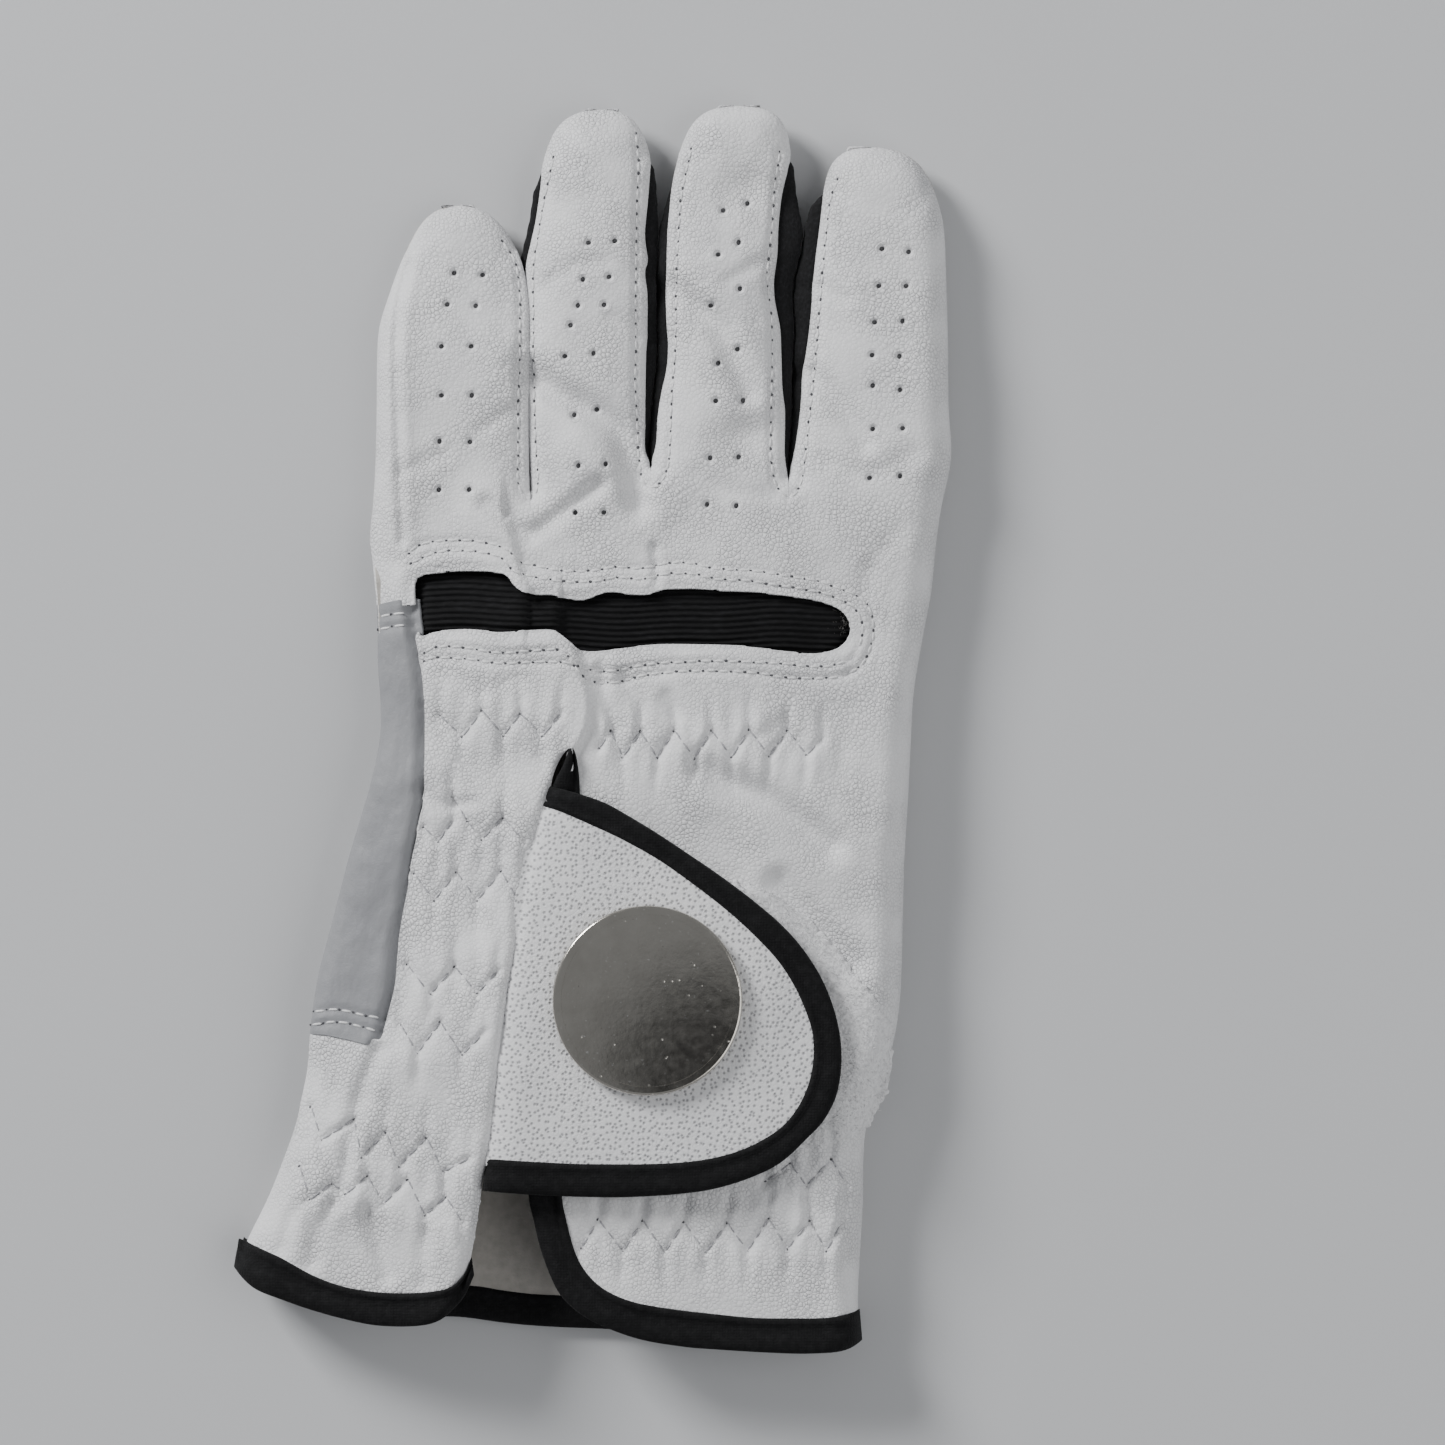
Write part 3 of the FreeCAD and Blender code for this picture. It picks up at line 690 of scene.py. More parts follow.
def border(triangles):
    """Directed edges that only one triangle has."""
    edges = np.vstack([triangles[:, [0, 1]], triangles[:, [1, 2]], triangles[:, [2, 0]]])
    size = int(triangles.max()) + 1
    forward = edges[:, 0] * size + edges[:, 1]
    backward = edges[:, 1] * size + edges[:, 0]
    return edges[~np.isin(forward, backward)]


def slab(vertices, triangles, thickness, round_edge=0.14):
    """The surface as leather of a thickness, with a rounded cut edge."""
    n = normals(vertices, triangles)
    count = len(vertices)
    below = vertices - n * thickness
    edge = border(triangles)
    tangent = vertices[edge[:, 1]] - vertices[edge[:, 0]]
    out_dir = np.zeros_like(vertices)
    side = np.cross(tangent, n[edge[:, 0]])
    np.add.at(out_dir, edge[:, 0], side)
    np.add.at(out_dir, edge[:, 1], side)
    ring = np.unique(edge)
    o = out_dir[ring]
    o /= np.maximum(np.linalg.norm(o, axis=1), 1e-12)[:, None]
    middle_a = vertices[ring] - n[ring] * thickness * 0.25 + o * round_edge
    middle_b = vertices[ring] - n[ring] * thickness * 0.75 + o * round_edge
    index = np.full(count, -1)
    index[ring] = np.arange(len(ring))
    start_a, start_b = 2 * count, 2 * count + len(ring)
    e0, e1 = edge[:, 0], edge[:, 1]
    a0, a1 = start_a + index[e0], start_a + index[e1]
    b0, b1 = start_b + index[e0], start_b + index[e1]
    faces = [triangles, triangles[:, ::-1] + count]
    for p0, p1, q0, q1 in ((e0, e1, a0, a1), (a0, a1, b0, b1), (b0, b1, e0 + count, e1 + count)):
        faces.append(joined(p1, p0, q0))
        faces.append(joined(p1, q0, q1))
    shading = np.vstack([n, -n, 0.5 * n[ring] + o, 0.5 * -n[ring] + o])
    slab.shading = shading / np.maximum(np.linalg.norm(shading, axis=1), 1e-9)[:, None]
    return np.vstack([vertices, below, middle_a, middle_b]), np.vstack(faces)


def piece(name, vertices, faces, material, body=None, flat=False):
    """A Blender mesh from pattern millimetres. faces is one array or a list of arrays."""
    groups = faces if isinstance(faces, list) else [faces]
    v = np.array(vertices, float)
    v[:, :2] += CENTRE
    v *= MM
    mesh = bpy.data.meshes.new(name)
    mesh.vertices.add(len(v))
    mesh.vertices.foreach_set("co", v.astype(np.float32).ravel())
    loops = np.concatenate([g.ravel() for g in groups]).astype(np.int32)
    totals = np.concatenate([np.full(len(g), g.shape[1]) for g in groups]).astype(np.int32)
    starts = np.concatenate([[0], np.cumsum(totals)[:-1]]).astype(np.int32)
    mesh.loops.add(len(loops))
    mesh.loops.foreach_set("vertex_index", loops)
    mesh.polygons.add(len(totals))
    mesh.polygons.foreach_set("loop_start", starts)
    mesh.polygons.foreach_set("loop_total", totals)
    mesh.update(calc_edges=True)
    mesh.validate()
    faces_lost = len(totals) - len(mesh.polygons)
    mesh.polygons.foreach_set("use_smooth", np.full(len(mesh.polygons), not flat))
    obj = bpy.data.objects.new(name, mesh)
    bpy.context.collection.objects.link(obj)
    mesh.materials.append(material)
    obj["faces_lost"] = faces_lost
    if body:
        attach(obj, body)
    return obj


class Bag:
    """Collects small meshes into one."""

    def __init__(self):
        self.v, self.f, self.n = [], [], 0

    def add(self, vertices, faces):
        self.v.append(vertices)
        self.f.append(faces + self.n)
        self.n += len(vertices)

    def done(self):
        return np.vstack(self.v), np.vstack(self.f)


def capsule_template(sides=8, rings=7):
    """A unit capsule along X: half length 0.5, radius 1 in Y and Z."""
    t = np.linspace(0, math.pi, rings)
    v, f = [], []
    for a in t:
        r = math.sin(a) ** 0.6 if 0 < a < math.pi else 0.0
        x = -0.5 * math.cos(a)
        for k in range(sides):
            b = 2 * math.pi * k / sides
            v.append((x, r * math.cos(b), r * math.sin(b)))
    for i in range(rings - 1):
        for k in range(sides):
            p, q = i * sides + k, i * sides + (k + 1) % sides
            f.append((p, p + sides, q + sides))
            f.append((p, q + sides, q))
    return np.array(v), np.array(f)


CAPSULE = capsule_template()
NEEDLE = capsule_template(6, 4)


def stitches(bag, line, height, length=1.7, gap=0.5, radius=0.19, seat=0.10, jitter=0.05, holes=None):
    """Sewn thread along a line: each stitch is a short strand whose ends dip into the leather."""
    line = even(line, step=(length + gap) / 2)
    centres = line[1::2]
    before, after = line[0:-1:2][: len(centres)], line[2::2]
    centres = centres[: len(after)]
    if not len(centres):
        return
    tv, tf = CAPSULE
    z = height(centres[:, 0], centres[:, 1])
    z0 = height(before[: len(centres), 0], before[: len(centres), 1])
    z1 = height(after[:, 0], after[:, 1])
    for (cx, cy), a, b, zc, za, zb in zip(centres, before, after, z, z0, z1):
        direction = b - a
        size = np.linalg.norm(direction)
        if size < 1e-6:
            continue
        ux, uy = direction / size
        half = 0.5 * length * (1 + rng.uniform(-0.06, 0.06))
        turn = rng.uniform(-0.05, 0.05)
        ux, uy = ux * math.cos(turn) - uy * math.sin(turn), ux * math.sin(turn) + uy * math.cos(turn)
        s = tv[:, 0] * 2
        x = cx + ux * s * half - uy * tv[:, 1] * radius + rng.uniform(-jitter, jitter)
        y = cy + uy * s * half + ux * tv[:, 1] * radius + rng.uniform(-jitter, jitter)
        slope = (zb - za) * 0.5 * (2 * half / size)
        zz = zc + s * slope + tv[:, 2] * radius + seat - 0.30 * np.abs(s) ** 3
        bag.add(joined(x, y, zz), tf)
        if holes is not None:
            nv, nf = NEEDLE
            r = rng.uniform(0.17, 0.27)
            hx, hy = a[0] + rng.uniform(-0.08, 0.08), a[1] + rng.uniform(-0.08, 0.08)
            nx = hx + nv[:, 0] * 2.4 * r * ux - nv[:, 1] * r * uy
            ny = hy + nv[:, 0] * 2.4 * r * uy + nv[:, 1] * r * ux
            holes.add(joined(nx, ny, za + 0.05 + nv[:, 2] * 0.1), nf)


def ribbon(name, inner, outer, height, thick, material, body, rings=14, groove=0.0, groove_at=0.28):
    """A folded tape between two lines: a closed padded section that follows a height."""
    n = max(int(np.linalg.norm(np.diff(inner, axis=0), axis=1).sum() / 0.7), 8)
    a, b = even(inner, count=n), even(outer, count=n)
    theta = np.linspace(0, 2 * math.pi, rings * 2, endpoint=False)
    cosine, sine = np.cos(theta), np.sin(theta)
    across = 0.5 - 0.5 * np.sign(cosine) * np.abs(cosine) ** 0.6
    up = np.sign(sine) * np.abs(sine) ** 0.8
    p = a[:, None] * (1 - across[None, :, None]) + b[:, None] * across[None, :, None]
    x, y = p[..., 0], p[..., 1]
    z = height(x.ravel(), y.ravel()).reshape(x.shape)
    wobble = 1 + 0.10 * np.sin(np.linspace(0, n * 0.35, n))[:, None]
    taper = np.ones(n)
    taper[:3] = (0.35, 0.75, 0.95)
    taper[-3:] = (0.95, 0.75, 0.35)
    line = hill(across - groove_at, 0.085) * (sine > 0)
    z = z + up[None] * 0.5 * thick * wobble * taper[:, None] - groove * line[None]
    v = np.stack([x, y, z], axis=-1).reshape(-1, 3)
    m = len(theta)
    i = np.arange(n - 1)[:, None] * m
    k = np.arange(m)[None]
    k2 = (k + 1) % m
    quads = np.stack([i + k, i + k2, i + m + k2, i + m + k], axis=-1).reshape(-1, 4)
    caps = [np.arange(m)[None, ::-1], (n - 1) * m + np.arange(m)[None]]
    return piece(name, v, [quads] + caps, material, body)


# ------------------------------------------------------------------ materials


def grey(level):
    """The linear value of a screen level from 0 to 255."""
    c = level / 255
    return c / 12.92 if c <= 0.04045 else ((c + 0.055) / 1.055) ** 2.4


def rgb(r, g, b):
    return (grey(r), grey(g), grey(b), 1)


class Look:
    """A material built from nodes, with the piece's rest position as its texture space."""

    def __init__(self, name, colour, rough, specular=0.4, metallic=0.0, sheen=0.0):
        self.material = bpy.data.materials.new(name)
        self.material.use_nodes = True
        self.nodes = self.material.node_tree.nodes
        self.links = self.material.node_tree.links
        self.shader = self.nodes["Principled BSDF"]
        self.set(self.shader, {
            "Base Color": colour, "Roughness": rough, "Metallic": metallic,
            "Specular IOR Level": specular, "Sheen Weight": sheen,
        })
        self.colour = colour
        rest = self.nodes.new("ShaderNodeAttribute")
        rest.attribute_name = "rest"
        self.position = rest.outputs["Vector"]
        self.bump = None

    @staticmethod
    def set(node, values):
        for socket, value in values.items():
            node.inputs[socket].default_value = value

    def use_object_space(self):
        self.position = self.nodes.new("ShaderNodeTexCoord").outputs["Object"]
        return self

    def scaled(self, scale, turn=0.0):
        mapping = self.nodes.new("ShaderNodeMapping")
        self.set(mapping, {"Scale": scale, "Rotation": (0, 0, turn)})
        self.links.new(self.position, mapping.inputs["Vector"])
        return mapping.outputs["Vector"]

    def noise(self, scale, detail=3.0, stretch=(1, 1, 1), turn=0.0):
        n = self.nodes.new("ShaderNodeTexNoise")
        self.set(n, {"Scale": scale, "Detail": detail})
        self.links.new(self.scaled(stretch, turn), n.inputs["Vector"])
        return n.outputs["Fac"]

    def cells(self, scale, feature="F1", randomness=1.0, stretch=(1, 1, 1), flat=False):
        n = self.nodes.new("ShaderNodeTexVoronoi")
        n.voronoi_dimensions = "2D" if flat else "3D"
        n.feature = feature
        self.set(n, {"Scale": scale, "Randomness": randomness})
        self.links.new(self.scaled(stretch), n.inputs["Vector"])
        return n.outputs["Distance"]

    def ramp(self, value, low, high, start=0.0, end=1.0):
        m = self.nodes.new("ShaderNodeMapRange")
        self.set(m, {"From Min": low, "From Max": high, "To Min": start, "To Max": end})
        self.links.new(value, m.inputs["Value"])
        return m.outputs["Result"]

    def sum(self, a, b, operation="ADD"):
        m = self.nodes.new("ShaderNodeMath")
        m.operation = operation
        for value, socket in ((a, m.inputs[0]), (b, m.inputs[1])):
            if isinstance(value, (int, float)):
                socket.default_value = value
            else:
                self.links.new(value, socket)
        return m.outputs[0]

    def raise_by(self, value, depth_mm):
        """Adds a bump of a depth in millimetres."""
        n = self.nodes.new("ShaderNodeBump")
        self.set(n, {"Strength": 1.0, "Distance": depth_mm * MM})
        self.links.new(value, n.inputs["Height"])
        if self.bump is not None:
            self.links.new(self.bump, n.inputs["Normal"])
        self.bump = n.outputs["Normal"]
        self.links.new(self.bump, self.shader.inputs["Normal"])
        return self

    def tint(self, value, colour):
        """Mixes towards another colour where value is 1."""
        m = self.nodes.new("ShaderNodeMix")
        m.data_type = "RGBA"
        self.links.new(value, m.inputs[0])
        socket = self.shader.inputs["Base Color"]
        if socket.is_linked:
            self.links.new(socket.links[0].from_socket, m.inputs[6])
        else:
            m.inputs[6].default_value = self.colour
        m.inputs[7].default_value = colour
        self.links.new(m.outputs[2], socket)
        return self

    def grain(self, depth_mm, *cloud, **shape):
        """A bump from a noise of a scale and detail."""
        return self.raise_by(self.noise(*cloud, **shape), depth_mm)

    def mottle(self, colour, low, high, share, *cloud, **shape):
        """Patches of another colour, where a noise passes from low to high."""
        return self.tint(self.ramp(self.noise(*cloud, **shape), low, high, 0, share), colour)

    def rough(self, value, low, high):
        self.links.new(self.ramp(value, 0, 1, low, high), self.shader.inputs["Roughness"])
        return self


def leather_look(name, colour, dark, pebble=1.0, rough=0.52):
    look = Look(name, colour, rough, specular=0.32, sheen=0.05)
    pits = look.cells(1500)
    edge = look.cells(1500, "DISTANCE_TO_EDGE")
    large = look.noise(90, 2)
    strength = look.ramp(look.noise(110, 3), 0.36, 0.62, 0.3, 1.0)
    look.raise_by(look.sum(look.ramp(pits, 0.15, 0.75, 1, 0), strength, "MULTIPLY"), 0.11 * pebble)
    look.raise_by(look.sum(look.ramp(edge, 0.0, 0.16), strength, "MULTIPLY"), 0.07 * pebble)
    look.raise_by(look.noise(3800, 2), 0.02)
    look.tint(look.ramp(large, 0.42, 0.72, 0, 0.35), dark)
    # painted shade: the crevices between the pebbles are tinted grey, as the shadow in the grain's recesses
    look.tint(look.sum(look.ramp(edge, 0.0, 0.11, 0.5 * pebble, 0), strength, "MULTIPLY"), rgb(152, 152, 156))
    look.rough(large, rough - 0.08, rough + 0.14)
    return look


WHITE = leather_look("white cabretta leather", rgb(226, 226, 227), rgb(204, 204, 207))
PALM = leather_look("palm leather", rgb(222, 220, 217), rgb(196, 193, 190), 0.8)
INNER = Look("leather flesh side", rgb(184, 180, 174), 0.9, specular=0.1, sheen=0.3)
INNER.mottle(rgb(156, 152, 146), 0.35, 0.7, 0.6, 700, 4)
INNER.grain(0.12, 2600, 4)
GREY = Look("grey side leather", rgb(139, 140, 143), 0.5, specular=0.3, sheen=0.05)
GREY.mottle(rgb(130, 131, 135), 0.4, 0.7, 0.6, 130, 3)
GREY.grain(0.06, 900, 3)
GREY.grain(1.1, 150, 3, stretch=(1, 0.6, 1), turn=0.5)
GREY.grain(1.6, 60, 2)
GREY.raise_by(GREY.ramp(GREY.cells(1700, "DISTANCE_TO_EDGE"), 0, 0.12), 0.015)
GREY.rough(GREY.noise(400, 3), 0.42, 0.62)
TAB = leather_look("tab leather", rgb(226, 226, 227), rgb(206, 206, 209), 0.35)
DOTS = TAB.cells(1120, randomness=0.85, flat=True)
TAB.raise_by(TAB.ramp(DOTS, 0.05, 0.38), 0.14)
TAB.tint(TAB.ramp(DOTS, 0.10, 0.34, 0.72, 0), rgb(134, 134, 138))
THREAD = Look("white thread", rgb(228, 228, 228), 0.6, specular=0.25, sheen=0.2)
THREAD.grain(0.03, 6000, 2)
THREAD.mottle(rgb(206, 206, 208), 0.4, 0.7, 1, 2500, 2)
# painted shade: the zigzag threads are coloured darker grey for the shadow of the grooves they lie in
PAINTED_SHADE_THREAD = Look("thread sunk in the gathers", rgb(176, 176, 179), 0.75, specular=0.15)
PAINTED_SHADE_THREAD.mottle(rgb(140, 140, 144), 0.4, 0.65, 1, 2500, 2)
PAINTED_SHADE_THREAD.grain(0.03, 6000, 2)
# painted shade: small dark dots stand in for the shadow inside each needle hole
HOLE_SHADE = Look("needle hole shade", rgb(92, 92, 95), 0.9, specular=0.05)
HOLE_SHADE.mottle(rgb(76, 76, 80), 0.4, 0.6, 1, 3000, 2)
# painted shade: the disc at the bottom of each perforation is dark grey for the shaded inside of the glove
PUNCH_SHADE = Look("perforation floor painted shade", rgb(112, 112, 114), 0.95, specular=0.05)
PUNCH_SHADE.mottle(rgb(84, 84, 86), 0.4, 0.6, 1, 2500, 2)
BLACK_KNIT = Look("black knit", rgb(26, 26, 27), 0.85, specular=0.1, sheen=0.06)
BLACK_KNIT.raise_by(BLACK_KNIT.cells(2200, stretch=(1, 0.6, 1)), 0.12)
BLACK_KNIT.mottle(rgb(36, 36, 38), 0.45, 0.8, 1, 1800, 3)
TAPE = Look("black binding tape", rgb(19, 19, 20), 0.82, specular=0.12, sheen=0.03)
TAPE.grain(0.07, 2400, 3)
TAPE.raise_by(TAPE.cells(2200, randomness=0.35), 0.12)
TAPE.mottle(rgb(30, 30, 31), 0.45, 0.75, 0.8, 900, 4)
RIB = Look("ribbed elastic", rgb(17, 17, 18), 0.75, specular=0.12, sheen=0.04)
RIB.grain(0.10, 2600, 3, stretch=(0.25, 1, 1))
RIB.mottle(rgb(28, 28, 30), 0.5, 0.8, 1, 1500, 3, stretch=(0.3, 1, 1))
FRAY = Look("frayed fibre", rgb(128, 126, 122), 0.9, specular=0.1, sheen=0.3)
FRAY.mottle(rgb(90, 88, 86), 0.4, 0.7, 1, 3000, 3)
ELASTIC = Look("elastic tape", rgb(214, 212, 208), 0.8, specular=0.1, sheen=0.2)
ELASTIC.grain(0.1, 2600, 2, stretch=(0.2, 1, 1))
ELASTIC.mottle(rgb(190, 188, 184), 0.4, 0.7, 1, 1200, 2)
LINING = Look("black lining", rgb(22, 22, 23), 0.85, specular=0.1, sheen=0.05)
LINING.raise_by(LINING.cells(2500), 0.1)
LINING.mottle(rgb(36, 36, 38), 0.45, 0.75, 1, 1500, 3)
LOOP = Look("white loop pile", rgb(232, 232, 233), 0.85, specular=0.1, sheen=0.35)
LOOP.grain(0.28, 2600, 5)
LOOP.mottle(rgb(203, 203, 205), 0.4, 0.75, 0.9, 1500, 5)
HOOK = Look("hook fastener", rgb(222, 222, 224), 0.5, specular=0.3)
HOOK.raise_by(HOOK.cells(1500, randomness=0.1), 0.1)
HOOK.mottle(rgb(198, 198, 202), 0.4, 0.7, 1, 1200, 2)


# ------------------------------------------------------------------ panels


def with_rest(obj, custom=None):
    """Keeps the rest position as the texture space, and sets given vertex normals."""
    mesh = obj.data
    co = np.zeros(len(mesh.vertices) * 3, np.float32)
    mesh.vertices.foreach_get("co", co)
    mesh.attributes.new("rest", "FLOAT_VECTOR", "POINT").data.foreach_set("vector", co)
    if custom is not None:
        mesh.normals_split_custom_set_from_vertices([tuple(n) for n in custom])
    return obj


def add_material(obj, material, first_face, last_face=None):
    """Faces from first_face to last_face take another material."""
    obj.data.materials.append(material)
    first_face -= obj["faces_lost"]
    index = np.zeros(len(obj.data.polygons), np.int32)
    obj.data.polygons.foreach_get("material_index", index)
    index[first_face:last_face] = len(obj.data.materials) - 1
    obj.data.polygons.foreach_set("material_index", index)


def spread(count, pull=0.55):
    """Shares from 0 to 1, closer together at both ends."""
    t = np.linspace(0, 1, count)
    return t * (1 - pull) + pull * (0.5 - 0.5 * np.cos(math.pi * t))


def stitched(name, threads, prick_shades, body, shaded=None):
    """A piece of sewn thread, with dark dots of painted shade at its needle holes and, when given, threads
    coloured darker with painted shade.
    """
    tv, tf = threads.done()
    hv, hf = prick_shades.done()
    parts = [(tv, tf), (hv, hf)] + ([shaded.done()] if shaded else [])
    v, f = merge(*parts)
    obj = piece(name, v, f, THREAD.material, body)
    add_material(obj, HOLE_SHADE.material, len(tf))
    if shaded:
        add_material(obj, PAINTED_SHADE_THREAD.material, len(tf) + len(hf))
    return obj


FINGER_COLUMNS = {name: spread(48) for name in FINGERS}


def finger_rows_y(top):
    y = np.arange(JUNCTION, top - 6, 0.55)
    t = np.linspace(0, 1, 18)
    end = y[-1] + (top - 0.07 - y[-1]) * np.sin(0.5 * math.pi * t)
    return np.concatenate([y, end[1:]])


def finger_grid(name):
    left, right, top, _ = FINGERS[name]
    y = finger_rows_y(top)[:, None]
    a, b = left(y), right(y)
    x = a + (b - a) * FINGER_COLUMNS[name][None]
    y = np.broadcast_to(y, x.shape)
    return x, y


def hand_grid():
    at_junction = []
    for name, (left, right, _, _) in FINGERS.items():
        a, b = float(left(JUNCTION)), float(right(JUNCTION))
        xs = a + (b - a) * FINGER_COLUMNS[name]
        at_junction.extend(xs if not at_junction else xs[1:])
    xs = np.array(at_junction)
    share = (xs - xs[0]) / (xs[-1] - xs[0])
    y = np.linspace(-104, JUNCTION, 282)[:, None]
    a, b = LEFT(y), RIGHT(y)
    a[-1], b[-1] = xs[0], xs[-1]
    even_share = np.linspace(0, 1, len(share))
    mix = ease((JUNCTION - y) / 8.0) * 0.75
    s = share[None] * (1 - mix) + even_share[None] * mix
    return a + (b - a) * s, np.broadcast_to(y, (len(y), len(share)))


def midline(a, b):
    n = 120
    return 0.5 * (even(a, count=n) + even(b, count=n))


TAPE_MID = midline(TAPE_INNER, TAPE_OUTER)
LEFT_HEM_MID = midline(LEFT_HEM_TOP, LEFT_HEM_LOW)
PALM_HEM_MID = midline(PALM_HEM_TOP, PALM_HEM_LOW)
STRIP_DOWN = STRIP_EDGE[STRIP_EDGE[:, 1] > -87].copy()
STRIP_DOWN[:, 0] -= 0.45 * (1 - ease((-7 - STRIP_DOWN[:, 1]) / 6))
GAP = np.vstack([STRIP_DOWN, LEFT_HEM_MID[::-1], [(-70, -84), (-70, -115), (62, -115), (62, -97.5)],
    TAPE_MID[::-1]])
SLOT_SIDE = PATCH_RIGHT[1:-1].copy()
SLOT_SIDE[:, 0] += 1.2 * ease((SLOT_SIDE[:, 1] - 14.6) / 1.6)
PATCH_CUT = np.vstack([[(-60, 18.7), (-34.8, 18.9), (-32, 19.5), (-29.2, 19.8), (-27.8, 19.9)],
    SLOT_SIDE[SLOT_SIDE[:, 1] < 19.7], [(-34.4, -50.4), (-39, -49.4), (-43, -48.6), (-60, -48.4)]])
PATCH_AREA = np.vstack([[(-60, 19.5), (-34.8, 19.7), (-32, 20.3), (-28.0, 20.7)],
    PATCH_RIGHT + np.array([1.0, 0]), [(-34.4, -51.3), (-39, -50.2), (-43, -49.4), (-60, -49.2)]])
HOLES = {
    "index": [(-22.3, 73.3), (-17.7, 73), (-23.4, 68.2), (-18.8, 68), (-24.3, 61.4), (-19.5, 61.4),
        (-24.3, 53.5), (-19.4, 53.5), (-24.6, 46.1), (-19.7, 46), (-24.7, 38.3), (-19.8, 38.3)],
    "middle": [(-0.6, 78.1), (3.6, 78.4), (-1.5, 72.2), (2.7, 72.6), (-2.3, 68), (1.9, 68.1), (-3.5, 64.8),
        (-4.4, 59.8), (0.2, 60.3), (-2.9, 50.4), (0.7, 51.3), (-2.2, 42.1), (2.2, 42.4), (-2.7, 34.6),
        (1.9, 34.6)],
    "ring": [(21.1, 83.4), (25, 84.6), (20.3, 76.2), (23.6, 78.2), (19.1, 68), (23.8, 70.7), (20.3, 58.7),
        (23.4, 61), (19.9, 52.6), (24.3, 52.7), (19, 43.4), (23.6, 43.6), (18.5, 35.9), (23.2, 35.7)],
    "little": [(46.7, 77.2), (51, 76.7), (46.2, 71.2), (50.6, 71.2), (45.5, 65.3), (50, 65.5), (45.1, 60),
        (49.5, 59.8), (45.2, 55.1), (49.6, 54.4), (45.2, 48.1), (50, 48.2), (44.7, 40.2), (49.6, 40.5)],
}
DISH = [(1.25, 0.03), (1.05, 0.0), (0.82, -0.10), (0.60, -0.26), (0.45, -0.5), (0.38, -0.85)]


def cut_holes(value, x, y, holes, radius=0.95):
    for hx, hy in holes:
        value = np.maximum(value, radius - np.hypot(x - hx, y - hy))
    return value


def dishes(holes, height, sides=20):
    """The rim of each perforation, turned down into the leather, and at its bottom a dark disc of painted
    shade for the glove's shaded inside.
    """
    rims, floors = Bag(), Bag()
    angle = np.linspace(0, 2 * math.pi, sides, endpoint=False)
    for hx, hy in holes:
        oval = 1 + rng.uniform(-0.08, 0.08)
        rings = []
        for r, dz in DISH:
            x, y = hx + r * oval * np.cos(angle), hy + r / oval * np.sin(angle)
            if dz > -0.2:
                ref = height(x, y)
            else:
                ref = np.full(sides, float(height(np.array([hx], float), np.array([hy], float))[0]))
            rings.append(joined(x, y, ref + dz))
        v = np.vstack(rings)
        f = []
        for i in range(len(DISH) - 1):
            for k in range(sides):
                p, q = i * sides + k, i * sides + (k + 1) % sides
                f.append((p, q, q + sides))
                f.append((p, q + sides, p + sides))
        rims.add(v, np.array(f))
        last = rings[-1]
        centre = last.mean(0, keepdims=True)
        disc = np.vstack([last, centre])
        floors.add(disc, np.array([(k, (k + 1) % sides, sides) for k in range(sides)]))
    return rims.done(), floors.done()


def merge(*meshes):
    bag = Bag()
    for v, f in meshes:
        bag.add(v, f)
    return bag.done()


def analytic_normals(x, y, owner):
    """Normals from the slope of the height itself."""
    e = 0.3
    gx = (back_height(x + e, y, owner) - back_height(x - e, y, owner)) / (2 * e)
    gy = (back_height(x, y + e, owner) - back_height(x, y - e, owner)) / (2 * e)
    n = joined(-gx, -gy, np.ones_like(gx))
    return n / np.linalg.norm(n, axis=1)[:, None]


def seam_normals(v, n, owner):
    """Vertex normals, with the ones beside the hand and finger split taken from the height itself."""
    n = n.copy()
    near = (np.abs(v[:, 1] - JUNCTION) < 1.3) & (n[:, 2] > 0.2)
    if near.any():
        exact = analytic_normals(v[near, 0], v[near, 1], owner)
        w = ease((1.3 - np.abs(v[near, 1] - JUNCTION)) / 0.7)[:, None]
        n[near] = exact * w + n[near] * (1 - w)
    return n / np.maximum(np.linalg.norm(n, axis=1), 1e-9)[:, None]


# ---- the back of the hand

x, y = hand_grid()
rows, columns = x.shape
x, y = x.ravel(), y.ravel()
z = back_height(x, y, "hand") + strip_roll(x, y)
hand_v = joined(x, y, z)
hand_f = grid_triangles(rows, columns)


def hand_top(px, py):
    return back_height(px, py, "hand") + strip_roll(px, py)


keep_v, keep_f = hand_v, hand_f
for loop in (SLOT, GAP, PATCH_CUT):
    keep_v, keep_f = clip(keep_v, keep_f, -signed(keep_v[:, :2], loop))
v, f = slab(keep_v, keep_f, BACK_LEATHER)
hand_n = seam_normals(v, slab.shading, "hand")
back_panel = with_rest(piece("back_panel", v, f, WHITE.material, "hand"), hand_n)
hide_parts("back_leather")

grey_v, grey_f = clip(hand_v, hand_f, signed(hand_v[:, :2], PATCH_AREA))
tuck = np.interp(grey_v[:, 1], PATCH_RIGHT[::-1, 1], PATCH_RIGHT[::-1, 0]) - grey_v[:, 0]
grey_v[:, 2] += 0.35 - 1.25 * ease(1 - tuck / 2.2)
v, f = slab(grey_v, grey_f, BACK_LEATHER)
side_panel = with_rest(piece("side_panel", v, f, GREY.material, "hand"), slab.shading)
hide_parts("side_patch")


# ---- the palm


